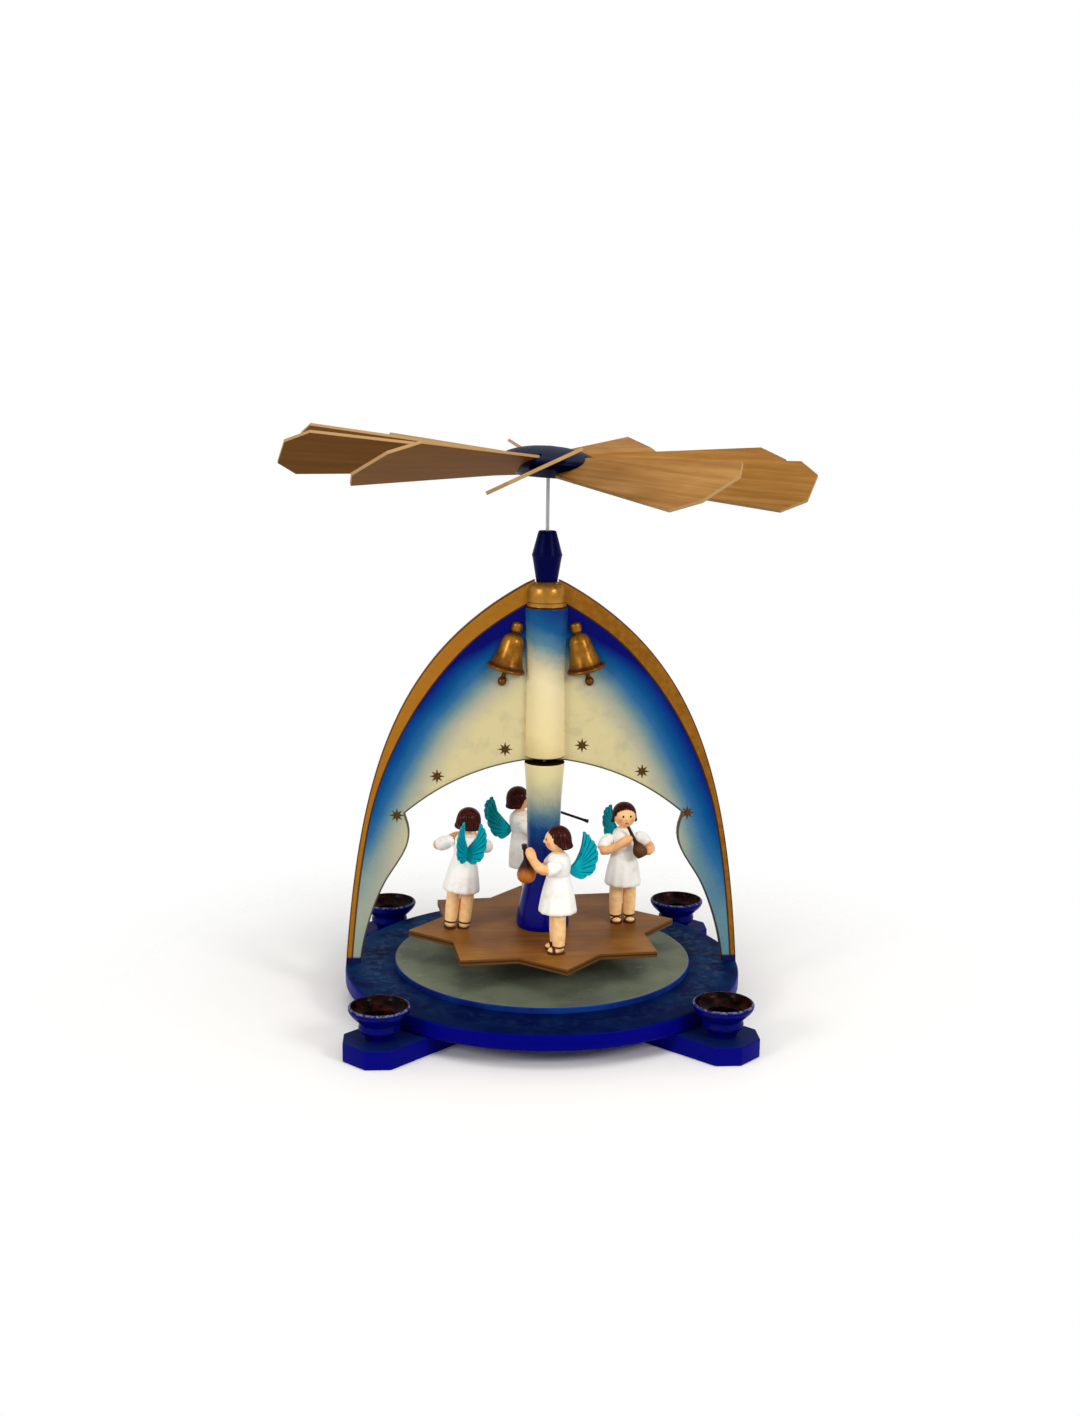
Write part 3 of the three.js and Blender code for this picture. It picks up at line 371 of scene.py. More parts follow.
def eased_edges(shape, width):
    """Takes the sharpness off the edges of a sawn shape."""
    edges = [edge for edge in shape.edges if edge.is_manifold and edge.calc_face_angle() > math.radians(30)]
    bmesh.ops.bevel(shape, geom=edges, offset=width * MM, segments=3, profile=0.5, affect="EDGES")


def sawn_copy(node, width):
    """The solid of that node with its triangles merged into whole faces and its edges eased."""
    shape = bmesh.new()
    shape.from_mesh(frame["nodes"][node].data)
    bmesh.ops.remove_doubles(shape, verts=shape.verts, dist=WELD * MM)
    bmesh.ops.dissolve_limit(shape, angle_limit=math.radians(0.5), verts=shape.verts, edges=shape.edges)
    eased_edges(shape, width)
    return smoothed(shaped("sawn_" + node, shape), SAWN_SHARP)


def fitted(piece, body, slot, paint, *nodes):
    """Paints a finished piece and sets it on its body, in place of the nodes that it stands for."""
    piece.data.materials.clear()
    piece.data.materials.append(paint.material)
    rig.ride(piece, body)
    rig.slot(piece, slot)
    if nodes:
        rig.replaces(piece, *nodes)


def gloss_paint(name, fresh, top_colour, specks):
    """Brushed gloss paint: the fresh colour, turning to the top colour on upward faces, with worn specks and brush
    marks.
    """
    paint = Paint(name, Specular_IOR_Level=0.03)
    point = paint.point()
    patches = paint.noise(point, 9, 4)
    upward = paint.facing("Z").step(0.5, 0.9)
    shade = paint.mix(upward * (0.6 + patches * 0.6), fresh, top_colour)
    worn = paint.noise(point, 2.2, 5).step(0.7, 0.78) * patches.step(0.5, 0.7)
    paint.feed(Base_Color=paint.mix(worn * 0.7, shade, specks))
    paint.feed(Roughness=0.2 + patches * 0.24 + worn * 0.2 + upward * 0.2)
    paint.bump(paint.noise(point, 1.6) + worn * -0.6, 0.06)
    return paint


bar_paint = gloss_paint("bar_paint", BAR_SIDE, BAR_TOP, BAR_SPECKS)
for bar in ("foot_bar_lower", "foot_bar_upper"):
    fitted(sawn_copy(bar, BAR_EDGE), "base", "blue_paint", bar_paint, bar)


# Base disc: a turned disc glued on the bars. Its side is bright gloss blue; the broad ring of its top has
# gone dull and patchy, worn to blue-grey smears along its middle, and painted shade darkens it in front.

DISC_RADIUS = 94
DISC_BOTTOM = 8.5
DISC_TOP = 16.5
DISC_EDGE = 1.6
BEARING_HOLE = 4.8
BEARING_BOTTOM = 10.5
DISC_OUTLINE = [
    (0, DISC_BOTTOM), (DISC_RADIUS, DISC_BOTTOM, DISC_EDGE), (DISC_RADIUS, DISC_TOP, DISC_EDGE),
    (BEARING_HOLE, DISC_TOP), (BEARING_HOLE, BEARING_BOTTOM), (0, BEARING_BOTTOM),
]
RING_MIDDLE = 81
RING_DARK = "#010b38"
RING_DULL = "#0c2d54"
RING_WORN = "#33495f"
LEAD = 0.2
TOUCHING = 1e-4


def eased(points, radius=0.4, steps=4):
    """An outline with its inner corners rounded, and a short straight lead before and after each; a third
    number on a point is its own rounding."""
    outline = [Vector(points[0][:2])]
    for before, corner, after in zip(points, points[1:], points[2:]):
        here = Vector(corner[:2])
        rounding = corner[2] if len(corner) > 2 else radius
        ends = []
        for other in (before, after):
            way = Vector(other[:2]) - here
            reach = min(rounding, way.length * 0.48)
            ends.append(here + way.normalized() * reach)
            ends.append(here + way.normalized() * min(reach + LEAD, way.length * 0.5))
        start, lead_in, end, lead_out = ends
        outline.append(lead_in)
        for step in range(steps + 1):
            share = step / steps
            outline.append(start.lerp(here, share).lerp(here.lerp(end, share), share))
        outline.append(lead_out)
    outline.append(Vector(points[-1][:2]))
    return outline


def turned(outline, sides=96, half=False):
    """Rings of a shape turned on a lathe; half of it, towards the viewer, where it is sawn in two."""
    if half:
        angles = [math.pi * (1 + 2 * step / sides) for step in range(sides // 2 + 1)]
    else:
        angles = [2 * math.pi * step / sides for step in range(sides)]
    return [[Vector((radius * math.cos(angle), radius * math.sin(angle), height)) for angle in angles]
            for radius, height in outline]


def moved(rings, matrix):
    return [[matrix @ point for point in ring] for ring in rings]


def built(name, *shapes, edge=0, along=None):
    """One mesh of closed shapes, each a stack of rings in millimetres. Points are marked with the number
    of their shape in part, and with the value given for their ring in along; without such values, along is 0."""
    body = bmesh.new()
    part = body.verts.layers.float.new("part")
    way = body.verts.layers.float.new("along")
    for number, rings in enumerate(shapes):
        stack = [[body.verts.new(point * MM) for point in ring] for ring in rings]
        for share, ring in zip(along or [0] * len(stack), stack):
            for corner in ring:
                corner[part] = number
                corner[way] = share
        for low, high in zip(stack, stack[1:]):
            for here in range(len(low)):
                body.faces.new((low[here - 1], low[here], high[here], high[here - 1]))
        if (rings[0][0] - rings[-1][0]).length > TOUCHING:
            for ring, corners in ((rings[0], stack[0]), (rings[-1], stack[-1])):
                if (ring[0] - ring[len(ring) // 2]).length > TOUCHING:
                    body.faces.new(corners)
    bmesh.ops.remove_doubles(body, verts=body.verts, dist=TOUCHING * MM)
    bmesh.ops.recalc_face_normals(body, faces=body.faces)
    if edge:
        eased_edges(body, edge)
    return smoothed(shaped(name, body), SAWN_SHARP if edge else TURNED_SHARP)


def disc_finish():
    paint = Paint("disc_paint", Specular_IOR_Level=0.015)
    point = paint.point()
    patches = paint.noise(point, 12, 5)
    smears = paint.noise(point, 3, 5)
    upward = paint.facing("Z").step(0.5, 0.9)
    front_shade = paint.axis(point, "Y").step(10, -80)
    middle = abs(paint.reach(point) - RING_MIDDLE).step(8, 3)
    shade = paint.mix(patches.step(0.35, 0.65), RING_DARK, RING_DULL)
    shade = paint.mix(middle * smears.step(0.42, 0.7) * 0.6, shade, RING_WORN)
    # Painted shade darkens the ring's top towards the front.
    shade = paint.mix(front_shade * 0.8, shade, RING_DARK)
    paint.feed(Base_Color=paint.mix(upward, BAR_SIDE, shade))
    paint.feed(Roughness=0.24 + upward * 0.24 + patches * 0.2)
    paint.bump(paint.noise(point, 1.2, 4) + smears, 0.07)
    return paint


base_disc = built("turned_base_disc", turned(eased(DISC_OUTLINE), sides=160))
fitted(base_disc, "base", "blue_paint", disc_finish(), "base_disc")


# Floor disc: a thinner turned disc glued on the base, under the star plate. Its edge is bright blue, its
# top a matt grey-green ground with wax stains and pale scuffs, and a painted shadow of the star plate darkens its
# front.

FLOOR_DISC_RADIUS = 70.4
FLOOR_DISC_TOP = 19.7
FLOOR_DISC_OUTLINE = [
    (0, DISC_TOP), (FLOOR_DISC_RADIUS, DISC_TOP), (FLOOR_DISC_RADIUS, FLOOR_DISC_TOP, 0.8),
    (0, FLOOR_DISC_TOP),
]
GROUND = "#6d735f"
GROUND_STAIN = "#555b4c"
GROUND_SCUFF = "#858875"
GROUND_PAINTED_SHADOW = "#474c3f"
GROUND_EDGE = ("#03145c", "#083382")


def bored(points, bore):
    """The outline of a turned piece with a hole of that radius along its whole axis."""
    low = points[0][1]
    high = points[-1][1]
    return [(bore, low), *points[1:-1], (bore, high), (bore, low)]


def ground_finish():
    paint = Paint("ground_paint", Specular_IOR_Level=0.12)
    point = paint.point()
    clouds = paint.noise(point, 24, 5)
    grain = paint.noise(point, 3, 5)
    # Painted shadow of the star plate on the front of the ground.
    front_shade = paint.axis(point, "Y").step(-25, -62)
    top = paint.facing("Z").step(0.6, 0.9)
    shade = paint.mix(clouds.step(0.4, 0.7), GROUND, GROUND_STAIN)
    shade = paint.mix(grain.step(0.55, 0.75) * 0.5, shade, GROUND_SCUFF)
    shade = paint.mix(front_shade * 0.4, shade, GROUND_PAINTED_SHADOW)
    edge = paint.mix(clouds.step(0.35, 0.65), *GROUND_EDGE)
    paint.feed(Base_Color=paint.mix(top, edge, shade), Roughness=0.35 + top * 0.2 + grain * 0.2)
    paint.bump(grain, 0.08)
    return paint


floor_disc = built("turned_floor_disc", turned(eased(bored(FLOOR_DISC_OUTLINE, BEARING_HOLE)), sides=144))
fitted(floor_disc, "base", "grey_paint", ground_finish(), "floor_disc")


# Candle cups: four turned cups pegged into the bars' ends. Glossy dark blue outside, with a thin worn lip;
# the bowl and the candle's hole are burnt to black and rust, with a waxy gleam.

CUP_SPREAD = 106.6
CUP_TURNS = (45, 135, 225, 315)
CUP_HEIGHT = 15
CUP_HOLE = 7.2
CUP_HOLE_FLOOR = 5
CUP_BLUE = "#020562"
CUP_TOP = "#040946"
CUP_LIP = "#66677f"
CUP_BURNT = "#060202"
CUP_RUST = "#3a0f05"
CUP_OUTLINE = [
    (0, -4.7), (3, -4.7), (3, 0), (6.4, 0, 0.3), (6.4, 1.5, 0.8), (9.2, 4.2, 1.2), (9.2, 5.8, 0.9),
    (8.7, 7.5, 0.9), (10.7, 9.35, 2), (12.7, 11.4, 2), (13.7, 13.2, 1), (13.7, 14.35, 0.7),
    (13.05, CUP_HEIGHT, 0.4), (12.4, CUP_HEIGHT, 0.5), (11.6, 12.7, 1.6), (9.6, 10.9, 1.2),
    (CUP_HOLE, 10.2, 0.6), (CUP_HOLE, CUP_HOLE_FLOOR, 0.5), (0, CUP_HOLE_FLOOR),
]


def set_out_tree():
    """Copies a piece to every point of a mesh, turned and tipped up by the point's own angles. Each copy
    keeps the piece's own coordinates and gets a tone."""
    tree = bpy.data.node_groups.new("set_out", "GeometryNodeTree")
    inputs = {"Places": "Geometry", "Piece": "Object", "Seed": "Int", "Finish": "Material"}
    for label, kind in inputs.items():
        tree.interface.new_socket(label, in_out="INPUT", socket_type="NodeSocket" + kind)
    tree.interface.new_socket("Pieces", in_out="OUTPUT", socket_type="NodeSocketGeometry")
    nodes = Nodes(tree)
    enter = {label: nodes.add("NodeGroupInput", output=label) for label in inputs}
    one = nodes.add("GeometryNodeObjectInfo", None, {"Object": enter["Piece"]}, output="Geometry")
    kept = nodes.add("GeometryNodeStoreNamedAttribute", {"data_type": "FLOAT_VECTOR", "domain": "POINT"},
                     {"Geometry": one, "Name": "local", "Value": nodes.add("GeometryNodeInputPosition")})
    turn, rise, lean = [nodes.add("GeometryNodeInputNamedAttribute", {"data_type": "FLOAT"}, {"Name": mark})
                        for mark in ("turn", "rise", "lean")]
    spin = nodes.add("ShaderNodeCombineXYZ", None, {"X": 0 - lean, "Y": 0 - rise, "Z": turn})
    copies = nodes.add("GeometryNodeInstanceOnPoints", None,
                       {"Points": enter["Places"], "Instance": kept, "Rotation": spin})
    tone = nodes.add("FunctionNodeRandomValue", {"data_type": "FLOAT"}, {"Seed": enter["Seed"]}, output=1)
    toned = nodes.add("GeometryNodeStoreNamedAttribute", {"data_type": "FLOAT", "domain": "INSTANCE"},
                      {"Geometry": copies, "Name": "tone", "Value": tone})
    real = nodes.add("GeometryNodeRealizeInstances", None, {"Geometry": toned})
    done = nodes.add("GeometryNodeSetMaterial", None, {"Geometry": real, "Material": enter["Finish"]})
    nodes.join(tree.nodes.new("NodeGroupOutput").inputs["Pieces"], done)
    return tree


SET_OUT = set_out_tree()


def settled(piece):
    """Makes what a piece's modifiers show its own plain mesh."""
    shown_piece = piece.evaluated_get(bpy.context.evaluated_depsgraph_get())
    piece.data = bpy.data.meshes.new_from_object(shown_piece)
    piece.modifiers.clear()


def set_out(name, pattern, places, paint, seed=1):
    """A plain mesh of the pattern's copies at places, each x, y, z in millimetres, then in degrees a turn, a
    rise of its outer end and a lean backward."""
    mesh = bpy.data.meshes.new(name)
    mesh.from_pydata([Vector(place[:3]) * MM for place in places], [], [])
    for column, mark in ((3, "turn"), (4, "rise"), (5, "lean")):
        angles = [math.radians(place[column]) for place in places]
        mesh.attributes.new(mark, "FLOAT", "POINT").data.foreach_set("value", angles)
    piece = placed(name, mesh)
    spread = piece.modifiers.new("set_out", "NODES")
    spread.node_group = SET_OUT
    values = {"Piece": pattern, "Seed": seed, "Finish": paint.material}
    for item in SET_OUT.interface.items_tree:
        if item.name in values:
            spread[item.identifier] = values[item.name]
    settled(piece)
    bpy.data.objects.remove(pattern)
    return piece


def out_from_axis(radius, turn, height, rise=0, lean=0):
    """A place for a copy at that distance and turn from the upright axis."""
    angle = math.radians(turn)
    return (radius * math.cos(angle), radius * math.sin(angle), height, turn, rise, lean)


def cup_finish():
    paint = Paint("cup_paint", Specular_IOR_Level=0.02, Coat_Roughness=0.04)
    point = paint.point("local")
    reach = paint.reach(point)
    height = paint.axis(point, "Z")
    patches = paint.noise(point, 4, 4)
    specks = paint.noise(point, 1.1, 4)
    worn = height.step(CUP_HEIGHT - 0.9, CUP_HEIGHT - 0.3) * specks.step(0.38, 0.62)
    shade = paint.mix(patches.step(0.45, 0.7), CUP_BLUE, CUP_TOP)
    shade = paint.mix(worn, shade, CUP_LIP)
    soot = paint.mix(patches.step(0.42, 0.75) * 0.7, CUP_BURNT, CUP_RUST)
    hole = reach.step(CUP_HOLE + 0.7, CUP_HOLE + 0.4)
    hole = hole * height.step(CUP_HOLE_FLOOR - 0.6, CUP_HOLE_FLOOR - 0.2)
    dish = (height * 0.45 + 5.95 - reach).step(-0.1, 0.1) * height.step(9.6, 9.9)
    bowl = hole.most(dish)
    paint.feed(Base_Color=paint.mix(bowl, shade, soot), Coat_Weight=0.05 - bowl * 0.03)
    paint.feed(Roughness=0.08 + patches * 0.16 + worn * 0.3 + bowl * 0.1)
    paint.bump(specks + worn * -0.5, 0.08)
    return paint


cup_paint = cup_finish()
cup_pattern = built("cup_pattern", turned(eased(CUP_OUTLINE), sides=72))
cup_places = [out_from_axis(CUP_SPREAD, turn, DISC_BOTTOM) for turn in CUP_TURNS]
candle_cups = set_out("turned_candle_cups", cup_pattern, cup_places, cup_paint)
fitted(candle_cups, "base", "blue_paint", cup_paint, "candle_cup_back_right", "candle_cup_back_left",
       "candle_cup_front_left", "candle_cup_front_right")


# Bearing and shaft: a small brass cup sunk in the base carries the pointed end of a drawn steel rod,
# which runs up through the star plate, both columns and the guide into the wheel's hub.

BEARING_OUTLINE = [
    (0, BEARING_BOTTOM), (4.5, BEARING_BOTTOM), (4.5, 21.2), (2.4, 21.2), (2.2, 18.6), (0, 16.4),
]
BRASS = ("#c99f52", "#8a6a33")
SHAFT_RADIUS = 0.8
SHAFT_OUTLINE = [(0, 16.6), (0.4, 17.6), (SHAFT_RADIUS, 19.4, 0.6), (SHAFT_RADIUS, 256.5), (0, 256.8)]
STEEL = ("#85858a", "#b9b9bc")


def brass_finish():
    paint = Paint("brass_finish", Metallic=1.0)
    tarnish = paint.noise(paint.point(), 2, 4)
    paint.feed(Base_Color=paint.mix(tarnish, *BRASS), Roughness=0.25 + tarnish * 0.2)
    return paint


def steel_finish():
    paint = Paint("steel_finish", Metallic=1.0)
    lines = paint.noise(paint.point(), 0.5, 3, (1, 1, 0.03))
    paint.feed(Base_Color=paint.mix(lines, *STEEL), Roughness=0.28 + lines * 0.2)
    paint.bump(lines, 0.01)
    return paint


bearing = built("turned_bearing_cup", turned(eased(BEARING_OUTLINE, radius=0.3), sides=48))
fitted(bearing, "base", "brass", brass_finish(), "bearing_cup")
shaft = built("drawn_shaft", turned(eased(SHAFT_OUTLINE, radius=0.3), sides=40))
fitted(shaft, "carousel", "steel", steel_finish(), "shaft")


# Arch panels: two boards fretsawn to half an ogee arch, tongued into the column and let into the base.
# Sprayed from deep blue through sky to cream inside a brushed bronze border; sawn edges are dark brown.
# Painted light from the left makes the left half paler, in the spray and on the border.

PANEL_HALF = 2
PANEL_EASE = ((0, 0.45), (0.15, 0.12), (0.45, 0))
PANEL_OUTER = [(93.8, 0), (86.8, 95.4), (69.7, 149.1), (9.5, 182.6)]
PANEL_FOOT = [(86.5, 0), (85.4, 15), (78.6, 34.3), (73.2, 43)]
PANEL_SHOULDER = [(73.2, 43), (66.8, 53.2), (59.5, 61), (65.8, 73.5)]
PANEL_CROWN = [(65.8, 73.5), (41.2, 94.6), (9.5, 99.2)]
PANEL_SHARES = (0.2, 0.33)
PANEL_TENON = 5.7
PANEL_TONGUE = 5.6
PANEL_TIP = 184.4
PANEL_ROWS = 90
PANEL_COLUMNS = 22
BRONZE = "#95611b"
BRONZE_LIT_LEFT = "#b37522"
BRONZE_DARK = "#7e4f12"
SPRAY_WIDTH = 34
PANEL_SKY = (
    (0.0, "#020562"), (0.1, "#022e7a"), (0.24, "#034e86"), (0.38, "#2a6494"), (0.5, "#5f8490"),
    (0.62, "#96a092"), (0.74, "#b6b196"), (0.88, "#cbc196"), (1.0, "#d5c795"),
)
SKY_SMUDGE = "#8f8b72"
SAWN_DARK_AND_EDGE_SHADE = "#2c1a0b"
NAVY = "#12184a"


def bezier(points, share):
    """The point at that share of a curve with these control points."""
    points = [Vector(point) for point in points]
    while len(points) > 1:
        points = [first.lerp(second, share) for first, second in zip(points, points[1:])]
    return points[0]


def panel_inner(share):
    """The cut-out's edge, from the foot at 0 past the shoulder and the nose to the crown at 1."""
    shoulder_at, nose_at = PANEL_SHARES
    if share < shoulder_at:
        return bezier(PANEL_FOOT, share / shoulder_at)
    if share < nose_at:
        return bezier(PANEL_SHOULDER, (share - shoulder_at) / (nose_at - shoulder_at))
    return bezier(PANEL_CROWN, (share - nose_at) / (1 - nose_at))


panel_rows = [(panel_inner(row / PANEL_ROWS), bezier(PANEL_OUTER, row / PANEL_ROWS))
              for row in range(PANEL_ROWS + 1)]
panel_rows.insert(0, tuple(point - Vector((0, PANEL_TENON)) for point in panel_rows[0]))
panel_rows.append((Vector((PANEL_TONGUE, panel_rows[-1][0].y)), Vector((PANEL_TONGUE, PANEL_TIP))))


def distance(point, line):
    """From a point to the nearest part of a line of points."""
    nearest = math.inf
    for start, end in zip(line, line[1:]):
        way = end - start
        share = max(0, min(1, (point - start).dot(way) / max(way.length_squared, 1e-9)))
        nearest = min(nearest, (start + way * share - point).length)
    return nearest


def panel_rings(side):
    """Sections across one panel from its foot to its tip, with eased edges."""
    rings = []
    for inner, outer in panel_rows:
        width = (outer - inner).length
        ease = [(across, PANEL_HALF - deep) for across, deep in PANEL_EASE]
        section = ease + [(width * column / PANEL_COLUMNS, PANEL_HALF) for column in range(1, PANEL_COLUMNS)]
        section += [(width - across, deep) for across, deep in reversed(ease)]
        ring = []
        for facing_side, order in ((-1, section), (1, reversed(section))):
            for across, deep in order:
                place = inner.lerp(outer, across / width)
                ring.append(Vector((side * place.x, facing_side * deep, DISC_TOP + place.y)))
        rings.append(ring)
    return rings


def keep_edges(panel):
    """Marks each point of a panel with its distance from the cut-out and from the outer edge."""
    for mark, line in zip(("from_cut", "from_rim"), zip(*panel_rows)):
        values = [distance(Vector((abs(vertex.co.x) / MM, vertex.co.z / MM - DISC_TOP)), line)
                  for vertex in panel.data.vertices]
        panel.data.attributes.new(mark, "FLOAT", "POINT").data.foreach_set("value", values)


def panel_finish():
    paint = Paint("panel_paint", Specular_IOR_Level=0.06)
    point = paint.point()
    height = paint.axis(point, "Z") - DISC_TOP
    # Painted light from the left: the left half's spray runs paler and its bronze border lighter.
    lit_left_half = paint.axis(point, "X").step(30, -30)
    mist = paint.noise(point, 11, 4)
    grit = paint.noise(point, 0.8)
    smudge = paint.noise(point, 7, 5).step(0.5, 0.75)
    streaks = paint.noise(point, 3)
    band_width = 2.8 + height.step(70, 150) * 4.7 + height.step(150, 183) * 1.2
    from_rim = paint.mark("from_rim")
    from_band = from_rim - band_width
    spray = from_band / SPRAY_WIDTH + lit_left_half * height.step(132, 112) * 0.09
    spray = spray + height.step(112, 8) * (0.26 + lit_left_half * 0.18) - height.step(138, 162) * 0.2
    spray = spray + height.step(75, 15) * (0.5 + lit_left_half * 0.13 - spray)
    spray = spray + (mist - 0.5) * 0.08 + (grit - 0.5) * 0.05
    sky = paint.mix(smudge * spray.step(0.5, 0.8) * 0.25, paint.ramp(spray, PANEL_SKY), SKY_SMUDGE)
    border = paint.mix(streaks.step(0.2, 0.8), BRONZE_DARK, BRONZE)
    border = paint.mix(lit_left_half * 0.6, border, BRONZE_LIT_LEFT)
    in_border = from_band.step(0.25, -0.25)
    # Dark lines: a painted one between border and sky, and painted shade of the edges along the rim and the cut-out.
    lines = abs(from_band).step(0.55, 0.3).most(from_rim.step(0.7, 0.45))
    lines = lines.most(paint.mark("from_cut").step(1.0, 0.6))
    edge = abs(paint.facing("Y")).step(0.85, 0.6)
    shade = paint.mix(in_border, sky, border)
    shade = paint.mix(lines * 0.85, shade, SAWN_DARK_AND_EDGE_SHADE)
    shade = paint.mix(height.step(3.6, 2.4), shade, NAVY)
    shade = paint.mix(edge, shade, paint.mix(streaks, SAWN_DARK_AND_EDGE_SHADE, BRONZE_DARK))
    paint.feed(Base_Color=shade, Roughness=0.3 + mist * 0.2, Metallic=in_border * 0.3 * (1 - edge))
    paint.bump(grit + streaks * in_border, 0.03)
    return paint


panel_paint = panel_finish()
for side, label in ((1, "right"), (-1, "left")):
    panel = built("arch_panel_" + label + "_board", panel_rings(side))
    keep_edges(panel)
    fitted(panel, "base", "sky_paint", panel_paint, "arch_panel_" + label)


# Painted stars: six little eight-rayed stars in dark bronze paint along the cut-out, laid on so thickly that
# each stands a hair above the board.

STAR_SPOTS = ((-18.7, 104.6), (-50.5, 91.7), (-69.3, 72.9), (17.4, 106.5), (46, 93.9), (68, 73.9))
STAR_CORNERS = 16
STAR_REACHES = (3.6, 1.5, 3.3, 1.5)
STAR_LAYERS = ((1, -0.05), (1, 0.09), (0.8, 0.15))
STAR_BRONZE = ("#33200b", "#644316")


def star_rings():
    """The star's outline in layers, each with its size and its lift from the board."""
    rays = []
    for corner in range(STAR_CORNERS):
        angle = math.radians(90 + 360 / STAR_CORNERS * corner)
        rays.append(Vector((math.cos(angle), 0, math.sin(angle))) * STAR_REACHES[corner % len(STAR_REACHES)])
    return [[ray * size - Vector((0, lift, 0)) for ray in rays] for size, lift in STAR_LAYERS]


def star_finish():
    paint = Paint("star_paint", Metallic=0.1, Specular_IOR_Level=0.1)
    dabs = paint.noise(paint.point("local"), 0.9)
    paint.feed(Base_Color=paint.mix(dabs, *STAR_BRONZE), Roughness=0.35 + dabs * 0.2)
    paint.bump(dabs, 0.05)
    return paint


star_paint = star_finish()
star_places = [(x, -PANEL_HALF, DISC_TOP + z, 0, 0, 0) for x, z in STAR_SPOTS]
painted_stars = set_out("painted_stars", built("star_pattern", star_rings()), star_places, star_paint)
fitted(painted_stars, "base", "gold_paint", star_paint)


# Arch column: a turned column that clasps both panels, bored for the shaft. Cream at the bottom, it fades to
# blue up its length, and the rounded cap over a fine groove is bronze paint.

COLUMN_BOTTOM = 117.5
COLUMN_NECK = 188.4
COLUMN_TOP = 199.8
COLUMN_BORE = 3
COLUMN_OUTLINE = [
    (0, COLUMN_BOTTOM), (9.4, COLUMN_BOTTOM), (9.5, 118.6, 0.5), (9.2, 137.6, 9), (9.05, 157.2, 12),
    (9.52, 172.8, 9), (10, 183.4, 5), (10.1, 188, 0.5), (9.35, 188.6, 0.3), (9.3, 195.5, 2), (8.2, 198.6, 2),
    (4.9, COLUMN_TOP, 0.5), (0, COLUMN_TOP),
]
COLUMN_SKY = (
    (0.0, "#d8c48c"), (0.12, "#ebd69c"), (0.5, "#ecdcac"), (0.62, "#cfc39c"), (0.75, "#568293"),
    (0.87, "#10568a"), (1.0, "#0a3474"),
)
CAP_BRONZE = ("#94641f", "#b07e36")
CAP_GROOVE = "#3f2408"
COLUMN_END_AND_SHADE = "#2a190a"


def sprayed(name, shine, bottom, length, lit_side_slant, speckle, stops):
    """Paint sprayed in colours that change with the height, with a cloudy and gritty passage between them.
    Gives the paint, the height, the clouds and the colour."""
    paint = Paint(name, Specular_IOR_Level=shine)
    point = paint.point()
    height = paint.axis(point, "Z")
    mist = paint.noise(point, 6, 4)
    grit = paint.noise(point, 0.8)
    fade = height + (mist - 0.5) * 6 + (grit - 0.5) * speckle + paint.axis(point, "X") * lit_side_slant
    paint.bump(grit, 0.04)
    return paint, height, mist, paint.ramp((fade - bottom) / length, stops)


def column_finish():
    # The slant lets the blue reach lower on the right and keeps the left side paler: painted light from the left.
    paint, height, mist, sky = sprayed(
        "column_paint", shine=0.08, bottom=COLUMN_BOTTOM, length=COLUMN_NECK - COLUMN_BOTTOM, lit_side_slant=0.45,
        speckle=3, stops=COLUMN_SKY)
    bronze = paint.mix(mist.step(0.3, 0.7), *CAP_BRONZE)
    cap = height.step(COLUMN_NECK - 0.4, COLUMN_NECK + 0.2)
    groove = abs(height - COLUMN_NECK + 0.1).step(0.6, 0.3)
    groove = groove.most(abs(height - COLUMN_NECK - 2.2).step(0.4, 0.2) * 0.6)
    shade = paint.mix(height.step(COLUMN_NECK - 0.5, COLUMN_NECK + 0.1), sky, bronze)
    shade = paint.mix(groove, shade, CAP_GROOVE)
    # Dark end grain at the column's foot, which is also painted shade in the gap above the post.
    shade = paint.mix(height.step(COLUMN_BOTTOM + 0.8, COLUMN_BOTTOM + 0.2), shade, COLUMN_END_AND_SHADE)
    paint.feed(Base_Color=shade, Metallic=cap * 0.5, Roughness=0.2 + mist * 0.14 + cap * 0.04)
    return paint


column = built("turned_arch_column", turned(eased(bored(COLUMN_OUTLINE, COLUMN_BORE))))
fitted(column, "base", "sky_paint", column_finish(), "arch_column")


# Top guide: a little turned double cone glued on the column's cap, through which the shaft runs.
# Glossy navy, with a narrow ridge at its widest ring.

GUIDE_TOP = 223.2
GUIDE_BORE = 1.15
GUIDE_NAVY = ("#020442", "#0a1238", "#2a3356")
GUIDE_OUTLINE = [
    (0, COLUMN_TOP), (4.9, COLUMN_TOP, 0.3), (6.7, 210.9, 0.5), (7.1, 212.1, 0.5), (6.7, 213.3, 0.5),
    (4.3, 222.4, 0.6), (3.9, GUIDE_TOP, 0.3), (0, GUIDE_TOP),
]

guide_paint = gloss_paint("guide_paint", *GUIDE_NAVY)
guide = built("turned_top_guide", turned(eased(bored(GUIDE_OUTLINE, GUIDE_BORE)), sides=72))
fitted(guide, "base", "blue_paint", guide_paint, "top_guide")


# Bells: two turned bells sawn in half and glued on the panels' front at a tilt. Bronze paint, with painted
# shade browning it towards the rim and darkening the grooves and the side along the board; a knob on the crown
# and a ball clapper under the rim.

